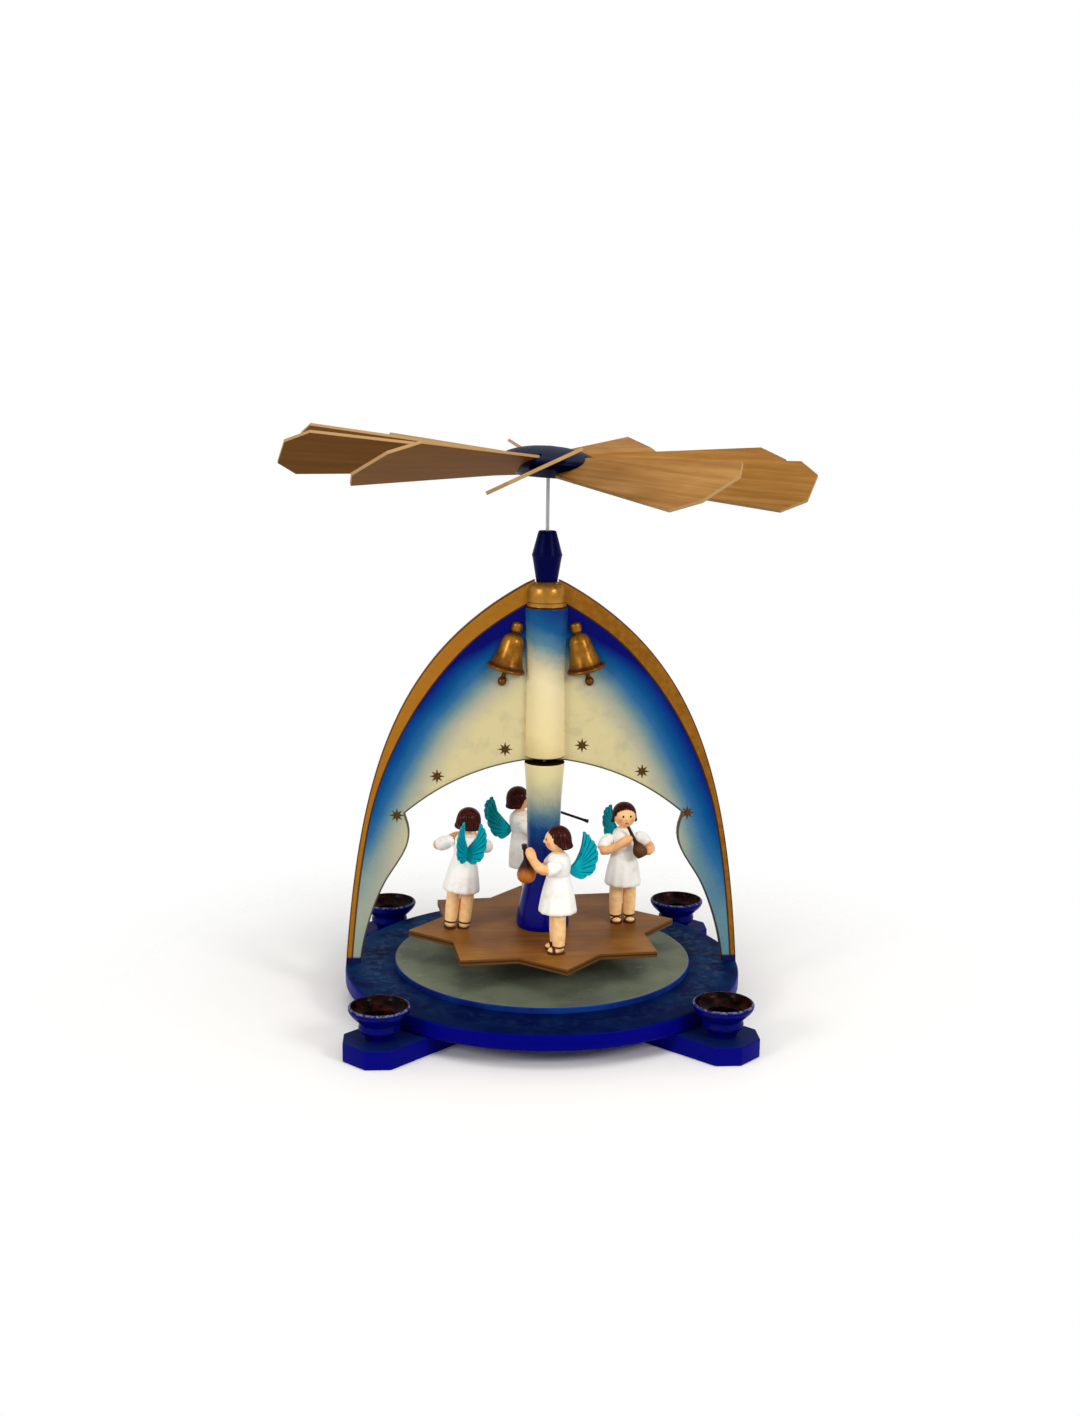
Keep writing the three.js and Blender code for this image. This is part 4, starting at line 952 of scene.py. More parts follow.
BELL_ASIDE = 19.0
BELL_RIM_AT = 158.6
BELL_TILT = 15
BELL_GAP = 0.3
BELL_OUTLINE = [
    (0, 0.8), (6.4, 0.8, 0.5), (8.6, 0, 0.4), (9.3, 0.7, 0.5), (9, 1.5, 0.4), (8.5, 1.9, 0.3), (7.4, 3.6, 1),
    (6.1, 7.6, 3), (5.5, 12.4, 3), (4.9, 15.4, 1), (3.6, 17.2, 1), (2, 17.7, 0.3), (1.7, 18.3, 0.3),
    (2.3, 18.9, 0.3), (2.7, 19.6, 0.4), (2.75, 22, 0.5), (2.4, 23, 0.6), (0, 23.6),
]
CLAPPER_OUTLINE = [(0, -7.4), (1.5, -7, 1), (2.2, -5.2, 1.4), (1.5, -3.5, 1), (0.9, -3, 0.4), (1, 1), (0, 1)]
CLAPPER_PART = 1
BELL_GROOVES = (2.3, 18.2)
BELL_BRONZE = ((0.3, "#653c0c"), (0.5, "#8a5814"), (0.72, "#a87526"))
BELL_RIM_SHADE = "#5a2c07"
BELL_PAINTED_SHADE = "#331b05"


def bell_finish():
    paint = Paint("bell_paint", Metallic=0.4, Specular_IOR_Level=0.1)
    point = paint.point()
    grit = paint.noise(point, 0.7)
    height = paint.mark("along")
    rim_groove, neck_groove = [abs(height - groove_at) for groove_at in BELL_GROOVES]
    groove = rim_groove.step(1.2, 0.2).most(neck_groove.step(0.8, 0.3)) * (1 - paint.part_from(CLAPPER_PART))
    # Painted shade: darker in the grooves and along the board, and browner towards the rim.
    board_shade = (paint.axis(point, "Y") + PANEL_HALF).step(-2.6, -0.6)
    shade = paint.ramp(paint.noise(point, 5), BELL_BRONZE)
    shade = paint.mix(height.step(8.5, 2) * 0.6, shade, BELL_RIM_SHADE)
    shade = paint.mix((groove * 0.8).most(board_shade * 0.75), shade, BELL_PAINTED_SHADE)
    paint.feed(Base_Color=shade, Roughness=0.24 + grit * 0.12)
    paint.bump(grit, 0.02)
    return paint


bell_paint = bell_finish()
bell_line = eased(BELL_OUTLINE)
for side, label in ((1, "right"), (-1, "left")):
    hang = Matrix.Translation((side * BELL_ASIDE, -PANEL_HALF - BELL_GAP, BELL_RIM_AT))
    hang = hang @ Matrix.Rotation(math.radians(-side * BELL_TILT), 4, "Y")
    bell = built("turned_bell_" + label, moved(turned(bell_line, half=True), hang),
                 moved(turned(eased(CLAPPER_OUTLINE), half=True), hang),
                 along=[height for reach, height in bell_line])
    fitted(bell, "base", "gold_paint", bell_paint, "bell_" + label)


# Carousel post: the waisted lower column, tenoned into the star plate and turning with the shaft. Sprayed
# from a deep glossy navy on its bell-shaped foot through sky blue to cream, with a dark stained upper end
# that, near black and without gloss, is also painted shade in the gap under the arch column.

STAR_TOP = 34.8
POST_HEIGHT = 80
POST_BORE = 1.1
POST_OUTLINE = [
    (0, -3), (5, -3), (5, 0), (12.2, 0, 0.4), (12.7, 1.6, 0.8), (11.96, 8, 3), (10.64, 13.6, 3),
    (8.98, 20.8, 4), (7.8, 33.6, 7), (7.8, 49.6, 8), (8.34, 65.6, 8), (9.5, 79, 3), (9.5, POST_HEIGHT, 0.4),
    (0, POST_HEIGHT),
]
POST_END = [(0, 79.6), (9.45, 79.6), (9.45, 80.1, 0.3), (0, 80.1)]
POST_SKY = (
    (0.2, "#03046a"), (0.5, "#031a60"), (0.61, "#0b4078"), (0.7, "#5a7f8c"), (0.81, "#bdb896"),
    (0.93, "#e4d59e"),
)
END_GRAIN_AND_SHADE = ("#120a05", "#3a2412")


def post_finish():
    paint, height, mist, sky = sprayed(
        "post_paint", shine=0.1, bottom=STAR_TOP, length=POST_HEIGHT, lit_side_slant=0, speckle=4, stops=POST_SKY)
    paint.feed(Base_Color=sky, Roughness=0.1 + mist * 0.14)
    return paint


def shaded_end_grain_finish():
    paint = Paint("end_grain_and_shade", Specular_IOR_Level=0.0)
    grain = paint.noise(paint.point(), 1.4, 4)
    paint.feed(Base_Color=paint.mix(grain, *END_GRAIN_AND_SHADE), Roughness=0.7 + grain * 0.2)
    paint.bump(grain, 0.1)
    return paint


on_plate = Matrix.Translation((0, 0, STAR_TOP))
post = built("turned_carousel_post", moved(turned(eased(bored(POST_OUTLINE, POST_BORE))), on_plate))
fitted(post, "carousel", "sky_paint", post_finish(), "carousel_post")
# A dark, unreflecting disc on the post's top: stained end grain and painted shade in the gap.
post_end = built("stained_post_end", moved(turned(eased(bored(POST_END, POST_BORE), radius=0.1)), on_plate))
fitted(post_end, "carousel", "sky_paint", shaded_end_grain_finish())


# Star plate: an eight-pointed star fretsawn from thin board, carrying the angels. Varnished brown on top
# with the grain across it, and a darker sawn edge with a thin glue line.

PLATE_EDGE = 0.3
PLATE_GLUE_AT = STAR_TOP - 1.5
PLATE_WOOD = ((0.34, "#6a4014"), (0.5, "#80511c"), (0.66, "#976429"))
PLATE_PORES = "#55330f"
PLATE_SAWN = ("#664421", "#412811")


def plate_finish():
    paint = Paint("plate_finish", Specular_IOR_Level=0.05)
    point = paint.point()
    grain = paint.noise(point, 3.2, 4, (0.07, 1, 1))
    pores = paint.noise(point, 0.5, 2, (0.05, 1, 1))
    shade = paint.ramp(grain * 0.35 + paint.noise(point, 26) * 0.65, PLATE_WOOD)
    shade = paint.mix(pores.step(0.58, 0.75) * 0.25, shade, PLATE_PORES)
    glue = abs(paint.axis(point, "Z") - PLATE_GLUE_AT).step(0.5, 0.3)
    side = abs(paint.facing("Z")).step(0.8, 0.5)
    paint.feed(Base_Color=paint.mix(side, shade, paint.mix(glue, *PLATE_SAWN)), Roughness=0.34 + grain * 0.2)
    paint.bump(grain + pores, 0.05)
    return paint


fitted(sawn_copy("star_plate", PLATE_EDGE), "carousel", "star_wood", plate_finish(), "star_plate")


# Wheel hub: a turned dome with ten slanting kerfs for the blades, pushed on the shaft's upper end.
# Navy gloss paint, with a painted grey-blue sheen on its crown.

WHEEL_AT = 253.0
WHEEL_LEAN = 3.4
HUB_NAVY_AND_SHEEN = ("#020424", "#1b2032", "#4a4d55")
HUB_OUTLINE = [
    (0, 4.1), (1.6, 4.1), (1.6, -5.2), (14, -5.2, 0.5), (22.5, -0.6, 1.2), (24, 1.2, 0.9), (23.1, 3.1, 1.2),
    (17.28, 6.34, 4), (9.12, 8.27, 4), (0, 8.8),
]
BLADE_COUNT = 10
BLADE_FIRST = -95
BLADE_PITCH = 28.8
BLADE_ASKEW = (-1.5, 0, 0, 0, 7.5, 3, 1, 0, 0, 1.4)
BLADE_RISE = (1.2, 0, 0, 1.5, 1, -1.8, -1.9, 0, -0.4, 0)
KERF_OUTLINE = [(17, -10), (30, -10), (30, 10), (17, 10)]
KERF_HALF = 1.05


def pitched_board(name, outline, half, edge=0):
    """A flat board of that outline, its sawn rim marked, tipped to the blades' pitch."""
    faces = [[Vector((x, y, height)) for x, y in outline] for height in (-half, half)]
    board = built(name, faces, edge=edge)
    rims = [0.0] * len(board.data.loops)
    for polygon in board.data.polygons:
        for corner in polygon.loop_indices:
            rims[corner] = float(abs(polygon.normal.z) < 0.6)
    board.data.attributes.new("sawn", "FLOAT", "CORNER").data.foreach_set("value", rims)
    board.data.transform(Matrix.Rotation(math.radians(BLADE_PITCH), 4, "X"))
    return board


def on_wheel(piece):
    """Lifts a piece made about the wheel's own axis to the shaft's end, with the wheel's lean."""
    lift = Matrix.Translation((0, 0, WHEEL_AT * MM))
    piece.data.transform(lift @ Matrix.Rotation(math.radians(WHEEL_LEAN), 4, "Y"))
    return piece


blade_places = []
for blade in range(BLADE_COUNT):
    blade_turn = BLADE_FIRST + 360 / BLADE_COUNT * blade + BLADE_ASKEW[blade]
    blade_places.append((0, 0, 0, blade_turn, BLADE_RISE[blade], 0))
# The hub's upward colour is a painted grey-blue sheen on its crown.
hub_paint = gloss_paint("hub_paint", *HUB_NAVY_AND_SHEEN)
kerf_pattern = pitched_board("kerf_pattern", KERF_OUTLINE, KERF_HALF)
kerfs = on_wheel(set_out("kerfs", kerf_pattern, blade_places, hub_paint))
wheel_hub = on_wheel(built("turned_wheel_hub", turned(eased(HUB_OUTLINE), sides=120)))
sawing = wheel_hub.modifiers.new("kerfs", "BOOLEAN")
sawing.object = kerfs
sawing.solver = "EXACT"
settled(wheel_hub)
bpy.data.objects.remove(kerfs)
smoothed(wheel_hub, TURNED_SHARP)
fitted(wheel_hub, "carousel", "blue_paint", hub_paint, "wheel_hub")


# Wheel blades: ten thin boards, narrow at the root and sawn off at the outer corners, glued at a slant in
# the hub's kerfs, some a little askew. Varnished brown, the grain along each blade, with paler sawn edges
# and painted shade darkening the undersides.

BLADE_HALF = 0.75
BLADE_EDGE = 0.2
BLADE_OUTLINE = [(17.3, -8.8), (112, -20.8), (121.5, -10.5), (121.5, 10.5), (112, 20.8), (17.3, 8.8)]
BLADE_SEED = 7
BLADE_WOOD = ((0.34, "#80541f"), (0.5, "#946730"), (0.64, "#a87a42"))
BLADE_UNDERSIDE_SHADE = "#6a3d05"
BLADE_PORES = "#553312"
BLADE_SAWN = "#b59265"


def blade_finish():
    """Each blade's own tone shifts the grain, so that no two are alike."""
    paint = Paint("blade_finish", Specular_IOR_Level=0.02)
    tone = paint.mark("tone")
    shift = paint.add("ShaderNodeCombineXYZ", None, {0: tone * 400, 1: tone * 90})
    point = paint.vector("ADD", paint.point("local"), shift)
    grain = paint.noise(point, 4, 4, (0.06, 1, 1))
    pores = paint.noise(point, 0.6, 2, (0.04, 1, 1))
    clouds = paint.noise(point, 30)
    # Painted shade on the blades' downward faces.
    underside_shade = paint.facing("Z").step(-0.3, -0.7) * (0.4 + clouds * 0.4)
    shade = paint.ramp(grain * 0.6 + clouds * 0.3 + tone * 0.1, BLADE_WOOD)
    shade = paint.mix(underside_shade, shade, BLADE_UNDERSIDE_SHADE)
    shade = paint.mix(pores.step(0.56, 0.75) * 0.3, shade, BLADE_PORES)
    shade = paint.mix(paint.mark("sawn") * 0.8, shade, BLADE_SAWN)
    paint.feed(Base_Color=shade, Roughness=0.36 + grain * 0.2)
    paint.bump(grain + pores, 0.06)
    return paint


blade_paint = blade_finish()
blade_pattern = pitched_board("blade_pattern", BLADE_OUTLINE, BLADE_HALF, BLADE_EDGE)
wheel_blades = on_wheel(set_out("sawn_wheel_blades", blade_pattern, blade_places, blade_paint, BLADE_SEED))
fitted(wheel_blades, "carousel", "blade_wood", blade_paint,
       *["wheel_blade_%02d" % (blade + 1) for blade in range(BLADE_COUNT)])


# Angels' legs: turned legs glued under each skirt, painted in flesh colour, on carved feet in brown sandals
# with a strap over the instep and one round the ankle. Each figure has its distance from the shaft, then in
# degrees its turn, its rise outward and its lean.

FIGURES = {
    "horn": (39, 6.5, 0, 0),
    "pipe": (39, 95.5, 0, 7.4),
    "recorder": (41.4, 186.5, 6, 0),
    "lute": (39, 276.5, 0, 0),
}
LEG_SPREAD = 3.3
LEG_SIDES = 28
LEG_OUTLINE = [
    (0, 1.6), (2.4, 1.6), (2.7, 3.4, 1), (2.95, 6, 2), (3.2, 10.5, 3), (3.15, 14, 2), (3.2, 19.9), (0, 19.9),
]
FOOT_AT = (-1.4, 1.6)
FOOT_RADII = (2.5, 3.6, 1.4)
SOLE_AT = (-1.1, 0)
SOLE_RADII = (2.9, 4.1)
SOLE_OUTLINE = [(0, 0.05), (1, 0.05, 0.1), (1, 0.8, 0.1), (0, 0.8)]
STRAP_THICK = 0.15
INSTEP_STRAP = ((-2.5, 1.4), (2.5, 1.55), 1.5, 90)
ANKLE_STRAP = ((0, 3.4), (2.62, 2.62), 0.9, 0)
FLESH = "#ffd598"
FLESH_WARM = "#f0a56c"
LEATHER = ("#2e1409", "#5c321a")

figure_places = [out_from_axis(radius, turn, STAR_TOP, rise, lean)
                 for radius, turn, rise, lean in FIGURES.values()]


def on_figures(name, pattern, paint, slot, label):
    """Fits a copy of a piece to every figure."""
    pieces = set_out(name, pattern, figure_places, paint)
    fitted(pieces, "carousel", slot, paint, *[figure + "_angel_" + label for figure in FIGURES])


def ball(centre, radii, sides):
    """Rings of an egg-shaped ball."""
    rows = sides // 2
    angles = [math.pi * (row / rows - 0.5) for row in range(rows + 1)]
    outline = [(0, -1), *[(math.cos(angle), math.sin(angle)) for angle in angles[1:-1]], (0, 1)]
    return moved(turned(outline, sides), Matrix.Translation(centre) @ Matrix.Diagonal((*radii, 1)))


def hoop(centre, radii, width, turn):
    """A strap of that width as a closed hoop, first laid flat and then turned about X."""
    angles = [2 * math.pi * step / 10 for step in range(11)]
    outline = [(1 + STRAP_THICK * math.cos(angle), width / 2 * math.sin(angle)) for angle in angles]
    stand = Matrix.Translation(centre) @ Matrix.Rotation(math.radians(turn), 4, "X")
    return moved(turned(outline, LEG_SIDES), stand @ Matrix.Diagonal((*radii, 1, 1)))


leg_forms = []
sandal_forms = []
for aside in (-LEG_SPREAD, LEG_SPREAD):
    leg_forms.append(moved(turned(eased(LEG_OUTLINE), LEG_SIDES), Matrix.Translation((aside, 0, 0))))
    leg_forms.append(ball((aside, *FOOT_AT), FOOT_RADII, sides=24))
    sole_stand = Matrix.Translation((aside, *SOLE_AT)) @ Matrix.Diagonal((*SOLE_RADII, 1, 1))
    sandal_forms.append(moved(turned(eased(SOLE_OUTLINE, steps=2), LEG_SIDES), sole_stand))
    for strap_at, radii, width, turn in (INSTEP_STRAP, ANKLE_STRAP):
        sandal_forms.append(hoop((aside, *strap_at), radii, width, turn))


def leg_finish():
    paint = Paint("leg_paint", Specular_IOR_Level=0.12)
    point = paint.point("local")
    clouds = paint.noise(point, 3)
    flesh = paint.mix(clouds.step(0.35, 0.7) * 0.5, FLESH, FLESH_WARM)
    shade = paint.mix(paint.part_from(len(leg_forms)), flesh, paint.mix(clouds, *LEATHER))
    paint.feed(Base_Color=shade, Roughness=0.3 + clouds * 0.25)
    paint.bump(paint.noise(point, 0.5, 2), 0.02)
    return paint


on_figures("angel_legs", built("leg_pattern", *leg_forms, *sandal_forms), leg_finish(), "skin_paint", "legs")


# Angels' dresses: turned cones of white-painted wood, cut with soft pleats above the hem, drawn in at the
# waist and closed by a small round collar.

DRESS_SIDES = 88
PLEATS = 11
PLEAT_DEPTH = 0.2
PLEAT_TOP = 35
PLEAT_LENGTH = 15.5
PLEAT_INSIDE = 6
DRESS_OUTLINE = [
    (0, 21.3), (6.5, 21.3, 0.3), (7.6, 19.1, 0.3), (8.5, 19, 0.3), (8.7, 20, 0.8), (7.75, 26.2, 5),
    (6.42, 31.9, 4), (5.3, 35.6, 1.2), (5.05, 36.2, 0.3), (5.3, 36.8, 0.6), (5.75, 40.6, 2),
    (5.5, 43.7, 1.6), (4.3, 45.7, 0.7), (3.4, 46.1, 0.2), (3.3, 46.6, 0.2), (2.2, 46.8, 0.2), (0, 46.8),
]
WHITE = "#faf6ee"
WHITE_SHADED = "#e9e2d5"
HEM_SOILED = "#c9b89a"


def pleated(ring):
    """A ring of the dress with its pleats, deepest at the hem and gone at the waist and inside."""
    fullness = max(0, min(1, (PLEAT_TOP - ring[0].z) / PLEAT_LENGTH))
    points = []
    for step, point in enumerate(ring):
        fold = PLEAT_DEPTH * fullness * math.cos(2 * math.pi * PLEATS * step / DRESS_SIDES)
        swell = 1 + fold / point.xy.length if point.xy.length > PLEAT_INSIDE else 1
        points.append(Vector((point.x * swell, point.y * swell, point.z)))
    return points


def dress_finish():
    paint = Paint("dress_paint", Specular_IOR_Level=0.08)
    point = paint.point("local")
    brush = paint.noise(point, 0.9, 3, (1, 1, 0.25))
    shade = paint.mix(paint.noise(point, 5, 4).step(0.5, 0.78), WHITE, WHITE_SHADED)
    shade = paint.mix(paint.axis(point, "Z").step(20.4, 19.1) * 0.4, shade, HEM_SOILED)
    paint.feed(Base_Color=shade, Roughness=0.4 + brush * 0.2)
    paint.bump(brush, 0.05)
    return paint


dress_rings = [pleated(ring) for ring in turned(eased(DRESS_OUTLINE), DRESS_SIDES)]
on_figures("angel_dresses", built("dress_pattern", dress_rings), dress_finish(), "white_paint", "dress")


# Angels' heads: turned balls with a small nose, under a cap of dark hair that flicks out at its ends. The
# face is only two dots, a mouth and a blush, as on any little wooden figure.

HEAD_CENTRE = (0, -1.2, 52.6)
HEAD_RADII = (5.2, 5.2, 5.4)
NECK_OUTLINE = [(0, 46.4), (2.2, 46.4), (2.1, 48.1), (2.6, 49.6), (0, 49.6)]
NOSE_UP = -0.5
NOSE_RADII = (0.75, 0.7, 0.85)
EYE_ASIDE = 1.75
EYE_UP = 0.8
EYE_RADII = (0.48, 0.22, 0.6)
MOUTH_UP = -2.4
MOUTH_RADII = (0.8, 0.22, 0.32)
BLUSH_AT = (2.7, 5.0, 51.3)
BLUSH = "#d9603f"
EYE_BROWN = "#1a0c08"
MOUTH_RED = "#a5321f"
HAIR_BROWN = ("#1c0504", "#54190f")
HAIR_TOP = 59.1
HAIR_OUTLINE = [
    (0, 0), (1.3, 0, 1), (3.2, 0.75, 2), (4.95, 2.5, 2), (5.75, 5.1, 2), (5.95, 7.9, 1.2), (6.7, 9.5, 0.5),
    (5.6, 10.2),
]
HAIR_SIDES = 96
HAIR_ROWS = 22
HAIR_TUCKED = 0.86
HAIR_THICK = 0.3
HAIR_INSIDE = 5
HAIRLINE_DROP = 9.3
STRANDS = 30
STRAND_DEPTH = 0.016
HAIR_PART = 3
EYE_PART = 4
MOUTH_PART = 6


def share_along(line, share):
    """The point at that share of a line's length."""
    lengths = [(end - start).length for start, end in zip(line, line[1:])]
    left = share * sum(lengths)
    for start, end, length in zip(line, line[1:], lengths):
        if left <= length:
            return start.lerp(end, left / max(length, 1e-9))
        left -= length
    return line[-1]


hair_line = eased(HAIR_OUTLINE, 1)


def hair_share(angle):
    """How far down the hair reaches at an angle from the front, to a ragged line that slants up to the
    forehead."""
    ragged = 0.02 * math.sin(7 * angle) + 0.012 * math.sin(19 * angle)
    for step in range(30, 100):
        reach, drop = share_along(hair_line, step / 100)
        if drop + reach * math.cos(angle) > HAIRLINE_DROP:
            return step / 100 + ragged
    return 1 + ragged * 0.5 - 0.02


def hair_ring(row):
    """A ring of the hair: rows run from the crown to the hairline, and two more close it inside."""
    ring = []
    for step in range(HAIR_SIDES):
        angle = 2 * math.pi * step / HAIR_SIDES - math.pi
        down = hair_share(angle) * min(row / HAIR_ROWS, 1)
        reach, drop = share_along(hair_line, down)
        strand = math.sin(STRANDS * angle + 2.5 * math.sin(2 * angle))
        reach *= 1 + STRAND_DEPTH * strand * min(1, down * 2)
        if row == HAIR_ROWS + 1:
            reach *= HAIR_TUCKED
            drop -= HAIR_THICK
        if row == HAIR_ROWS + 2:
            reach = 0
            drop = HAIR_INSIDE
        ring.append(Vector((reach * math.sin(angle), -reach * math.cos(angle), HAIR_TOP - drop)))
    return ring


def on_face(x, up):
    """A point of the face's surface, beside and above its middle."""
    rest = 1 - (x / HEAD_RADII[0]) ** 2 - (up / HEAD_RADII[2]) ** 2
    return (x, HEAD_CENTRE[1] - HEAD_RADII[1] * math.sqrt(rest), HEAD_CENTRE[2] + up)


def head_finish():
    paint = Paint("head_paint", Specular_IOR_Level=0.04, Coat_Roughness=0.06)
    point = paint.point("local")
    clouds = paint.noise(point, 2.4)
    strands = paint.noise(point, 0.6, 3, (1, 1, 0.2))
    from_blush = paint.vector("DISTANCE", paint.vector("ABSOLUTE", point), BLUSH_AT, output="Value")
    hair = paint.part_from(HAIR_PART)
    eyes = paint.part_from(EYE_PART)
    shade = paint.mix(0.15 + clouds * 0.4, FLESH, FLESH_WARM)
    shade = paint.mix(from_blush.step(1.9, 0.3) * 0.55, shade, BLUSH)
    shade = paint.mix(hair, shade, paint.mix(strands.step(0.35, 0.75), *HAIR_BROWN))
    shade = paint.mix(eyes, shade, EYE_BROWN)
    shade = paint.mix(paint.part_from(MOUTH_PART), shade, MOUTH_RED)
    paint.feed(Base_Color=shade, Roughness=0.26 + clouds * 0.2, Coat_Weight=hair * (1 - eyes) * 0.07)
    paint.bump(strands * hair, 0.12)
    return paint


head_forms = [ball(HEAD_CENTRE, HEAD_RADII, sides=40), turned(eased(NECK_OUTLINE), sides=28)]
head_forms.append(ball(on_face(0, NOSE_UP), NOSE_RADII, sides=16))
head_forms.append([hair_ring(row) for row in range(HAIR_ROWS + 3)])
for aside in (-EYE_ASIDE, EYE_ASIDE):
    head_forms.append(ball(on_face(aside, EYE_UP), EYE_RADII, sides=14))
head_forms.append(ball(on_face(0, MOUTH_UP), MOUTH_RADII, sides=14))
on_figures("angel_heads", built("head_pattern", *head_forms), head_finish(), "hair_paint", "head")


# Angels' arms: each arm is one bent form with a white puffed sleeve and a bare forearm, glued to the
# dress's side so that the hand meets the instrument. A hold is right elbow and hand, then left ones.

SHOULDER = (6, 0, 43.1)
ARM_HOLDS = {
    "horn": ((-10.3, -2, 37.2), (2, -9.1, 44.2), (12.6, -1.5, 36.8), (8.6, -9.7, 37.6)),
    "pipe": ((-9.6, -3, 38), (-0.6, -12.6, 46.8), (9.6, -5, 38), (0.6, -17.9, 44)),
    "recorder": ((-10.6, -2, 40.2), (-0.7, -9.9, 45.6), (12.2, -2, 39.8), (0.7, -12.3, 43)),
    "lute": ((-8.4, -5, 37.2), (-3.2, -12.7, 40), (7.4, -7, 40.6), (1.6, -14, 49.8)),
}
CUFF = 0.325
ARM_LINE = [
    (0, 0), (0, 1.3), (0.03, 2.4), (0.09, 3.1), (0.18, 3.35), (0.27, 3.15), (0.31, 2.95), (CUFF, 2.6),
    (0.33, 2.3), (0.45, 2.4), (0.6, 2.2), (0.72, 1.95), (0.8, 1.9), (0.88, 2.25), (0.94, 2.15), (0.985, 1.5),
    (1, 0.6), (1, 0),
]
ARM_SIDES = 24


def figure_stand(name):
    """Where a figure stands: from its own axis to the object's frame."""
    radius, turn, rise, lean = FIGURES[name]
    spin = Matrix.Rotation(math.radians(turn), 4, "Z")
    tip = Matrix.Rotation(math.radians(-rise), 4, "Y") @ Matrix.Rotation(math.radians(-lean), 4, "X")
    return spin @ Matrix.Translation((radius, 0, STAR_TOP)) @ tip


def arm_rings(shoulder, elbow, hand):
    """Rings round a curve from the shoulder through the elbow to the hand."""
    upper = (elbow - shoulder).length
    bend = upper / (upper + (hand - elbow).length)

    def place(share):
        first = (share - bend) * (share - 1) / bend
        middle = share * (share - 1) / (bend * (bend - 1))
        last = share * (share - bend) / (1 - bend)
        return shoulder * first + elbow * middle + hand * last

    rings = []
    for share, radius in ARM_LINE:
        heading = place(min(share + 0.01, 1)) - place(max(share - 0.01, 0))
        set_across = Matrix.Translation(place(share)) @ heading.to_track_quat("Z", "Y").to_matrix().to_4x4()
        rings += moved(turned([(radius, 0)], ARM_SIDES), set_across)
    return rings


def arm_finish():
    paint = Paint("arm_paint", Specular_IOR_Level=0.12)
    point = paint.point()
    clouds = paint.noise(point, 3)
    bare = paint.mark("along").step(CUFF, CUFF + 0.005)
    sleeve = paint.mix(clouds.step(0.5, 0.75), WHITE, WHITE_SHADED)
    flesh = paint.mix(0.5 + clouds.step(0.35, 0.7) * 0.5, FLESH, FLESH_WARM)
    paint.feed(Base_Color=paint.mix(bare, sleeve, flesh), Roughness=0.34 + clouds * 0.2)
    paint.bump(paint.noise(point, 0.8), 0.04)
    return paint


arm_forms = []
for name, (right_elbow, right_hand, left_elbow, left_hand) in ARM_HOLDS.items():
    for side, elbow, hand in ((-1, right_elbow, right_hand), (1, left_elbow, left_hand)):
        shoulder = Vector((side * SHOULDER[0], SHOULDER[1], SHOULDER[2]))
        arm_forms.append(moved(arm_rings(shoulder, Vector(elbow), Vector(hand)), figure_stand(name)))
angel_arms = built("angel_arms", *arm_forms, along=[share for share, radius in ARM_LINE])
fitted(angel_arms, "carousel", "skin_paint", arm_finish(),
       *[name + "_angel_arm_" + side for name in FIGURES for side in ("right", "left")])


# Angels' wings: a pair fretsawn from thin ply to a crescent, with a scalloped edge and a groove cut between
# the feathers, glued in a V on the dress's back. Turquoise paint, darker in the grooves.

WING_BEHIND = 6.7
WING_TOP = 46.8
WING_SPLAY = 34
WING_HALF = 0.6
WING_ROOT = ((-1.2, -10.3), (-1.2, -7.2))
WING_PULL = ((1.2, -12.1), (5.6, -3.4))
WING_FEATHERED = ((3.9, -12.4), (10, -8.3), (12, -0.5), (10.6, 4.9), (6.3, 8.1))
WING_FEATHERS = 8
WING_SCALLOP = 0.6
WING_GROOVE = 0.6
WING_THINNED = 0.5
WING_STEPS = 9
WING_COLUMNS = 14
TURQUOISE = ("#018b9b", "#04b4c5")
TURQUOISE_DARK = "#02323e"

wing_count = WING_FEATHERS * WING_STEPS
wing_shares = [step / wing_count for step in range(wing_count + 1)]


def wing_edge(share):
    """A point of the scalloped edge, from the wing's lowest point to its tip."""
    length = WING_FEATHERS * share
    feather = min(int(length), WING_FEATHERS - 1)
    start = Vector(WING_FEATHERED[feather // 2])
    end = Vector(WING_FEATHERED[feather // 2 + 1])
    step = (end - start) / 2
    first = start + step * (feather % 2)
    outward = Vector((step.y, -step.x)).normalized() * 2 * WING_SCALLOP
    return bezier([first, first + step * 0.5 + outward, first + step], length - feather)


def wing_rings(side):
    """Sections across one wing, from its lower edge to its upper one, thinned in the grooves."""
    splay = math.radians(90 - side * WING_SPLAY)
    backward = Vector((math.cos(splay), math.sin(splay), 0))
    outward = Vector((-math.sin(splay), math.cos(splay), 0))
    rings = []
    for share in wing_shares:
        groove = 1 - abs(math.sin(math.pi * WING_FEATHERS * share)) ** 0.4
        curve = [bezier(WING_ROOT, share), bezier(WING_PULL, share), wing_edge(share)]
        line = []
        for column in range(WING_COLUMNS + 1):
            across = column / WING_COLUMNS
            cut = groove * max(0, min(1, across * 3 - 1))
            half = WING_HALF * (1 - WING_GROOVE * cut) * (1 - WING_THINNED * across ** 6)
            line.append((bezier(curve, across), half))
        ring = []
        for face, order in ((1, line), (-1, reversed(line))):
            for flat, half in order:
                spot = Vector((0, WING_BEHIND, WING_TOP + flat.y)) + backward * flat.x
                ring.append(spot + outward * half * face)
        rings.append(ring)
    return rings


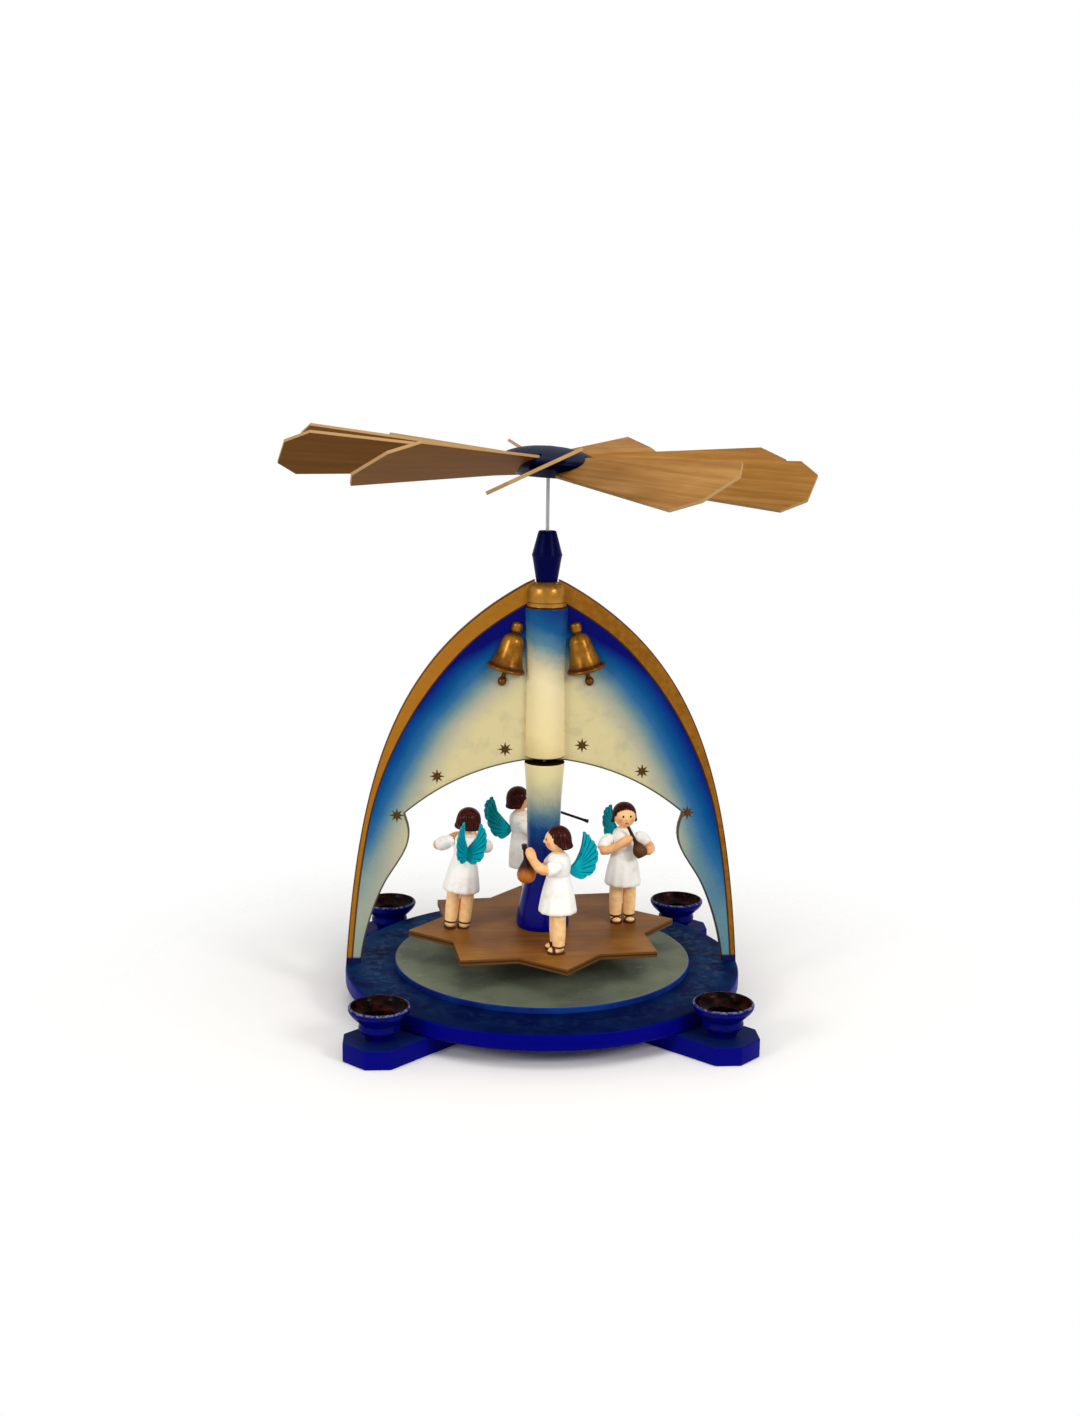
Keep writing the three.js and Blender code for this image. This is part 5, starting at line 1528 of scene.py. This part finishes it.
def wing_finish():
    paint = Paint("wing_paint", Specular_IOR_Level=0.05)
    point = paint.point("local")
    clouds = paint.noise(point, 2.5)
    feather = paint.mark("along") * WING_FEATHERS
    from_seam = paint.reach(paint.vector("SUBTRACT", point, (0, WING_BEHIND, 0)))
    groove = abs(feather - round(feather)).step(0.16, 0.02) * from_seam.step(3.5, 6.5)
    shade = paint.mix(groove * 0.8, paint.mix(clouds, *TURQUOISE), TURQUOISE_DARK)
    paint.feed(Base_Color=shade, Roughness=0.3 + clouds * 0.2)
    paint.bump(paint.noise(point, 0.6, 2), 0.04)
    return paint


wing_pattern = built("wing_pattern", wing_rings(1), wing_rings(-1), along=wing_shares)
on_figures("angel_wings", wing_pattern, wing_finish(), "wing_paint", "wings")


# Instruments: a horn, a long pipe, a recorder and a lute, each turned from one stick, stained dark and
# glued into the player's hands. The horn's bell and the lute's slightly flattened body are lighter.

HORN_OUTLINE = [
    (0, 0), (0.9, 0), (0.7, 0.8, 0.3), (0.85, 5, 2), (0.95, 8.2, 1), (2.3, 9.8, 1), (3.4, 11.8, 1.2),
    (3.45, 13.6, 1.2), (2.7, 15.4, 0.5), (2.2, 15.9, 0.3), (1.7, 15.4, 0.4), (1.2, 14, 0.5), (0, 13.4),
]
PIPE_OUTLINE = [
    (0, 0), (0.8, 0), (0.6, 1.5, 0.4), (0.65, 27.4, 1), (0.95, 29.7, 0.6), (0.95, 30.2, 0.1), (0, 30.2),
]
RECORDER_OUTLINE = [
    (0, 0), (0.7, 0), (0.8, 2, 0.3), (1.05, 2.4, 0.2), (1.05, 3.2, 0.2), (0.85, 3.6, 0.3), (0.9, 9.6, 1),
    (1.2, 10, 0.2), (1.2, 10.8, 0.2), (1.0, 11.2, 0.3), (1.35, 12, 0.2), (0, 12),
]
LUTE_OUTLINE = [
    (0, 0), (1.8, 0, 0.6), (4, 1, 1.2), (5, 3.4, 1.6), (4.4, 6, 1.6), (2.5, 8.6, 1.5), (1.2, 10.4, 0.8),
    (0.9, 11.6, 0.5), (0.9, 15.2, 0.5), (1.4, 15.6, 0.2), (1.3, 18, 0.2), (0, 18),
]


def aimed(start, heading):
    """From a stick's own axis to where its player holds it."""
    turn = Vector((0, 0, 1)).rotation_difference(Vector(heading))
    return Matrix.Translation(start) @ turn.to_matrix().to_4x4()


def stained(name, dark, light, lit_from, lit_to):
    """Stained wood, dark along the tube and lighter between two marks of its length."""
    paint = Paint(name, Specular_IOR_Level=0.15)
    streaks = paint.noise(paint.point(), 1.2, 4)
    lit = paint.mark("along").step(lit_from, lit_to) * (0.7 + streaks * 0.4)
    paint.feed(Base_Color=paint.mix(lit, dark, light), Roughness=0.24 + streaks * 0.2)
    paint.bump(streaks, 0.03)
    return paint


def played(label, outline, start, heading, paint, flatness=1):
    """Puts an instrument into the hands of the figure named after it, from its start along its heading."""
    held = figure_stand(label) @ aimed(start, heading) @ Matrix.Diagonal((1, flatness, 1, 1))
    stick = eased(outline)
    marks = [height for reach, height in stick]
    instrument = built("turned_" + label, moved(turned(stick, sides=40), held), along=marks)
    fitted(instrument, "carousel", "dark_wood", paint, label + "_angel_" + label)


played("horn", HORN_OUTLINE, (0.4, -6.9, 48.8), (6.2, -4, -13.2),
       stained("horn_paint", "#1c0d07", "#5c3716", lit_from=8, lit_to=10.5))
played("pipe", PIPE_OUTLINE, (0, -6.9, 49.8), (0, -27.4, -14.4),
       stained("pipe_paint", "#17100d", "#3a2417", lit_from=27, lit_to=30))
played("recorder", RECORDER_OUTLINE, (0, -6.9, 48.6), (0, -7.8, -8.6),
       stained("recorder_paint", "#4a2a12", "#8a5a2a", lit_from=0, lit_to=10))
played("lute", LUTE_OUTLINE, (0, -14.3, 33.2), (0, -1.4, 17.4),
       stained("lute_paint", "#260f07", "#b86a20", lit_from=8.6, lit_to=4), flatness=0.9)


visual_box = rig.bounds()
with open("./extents.json", "w") as sizes:
    json.dump({"cad": [list(corner) for corner in cad_box],
               "visual": [list(corner) for corner in visual_box]}, sizes)
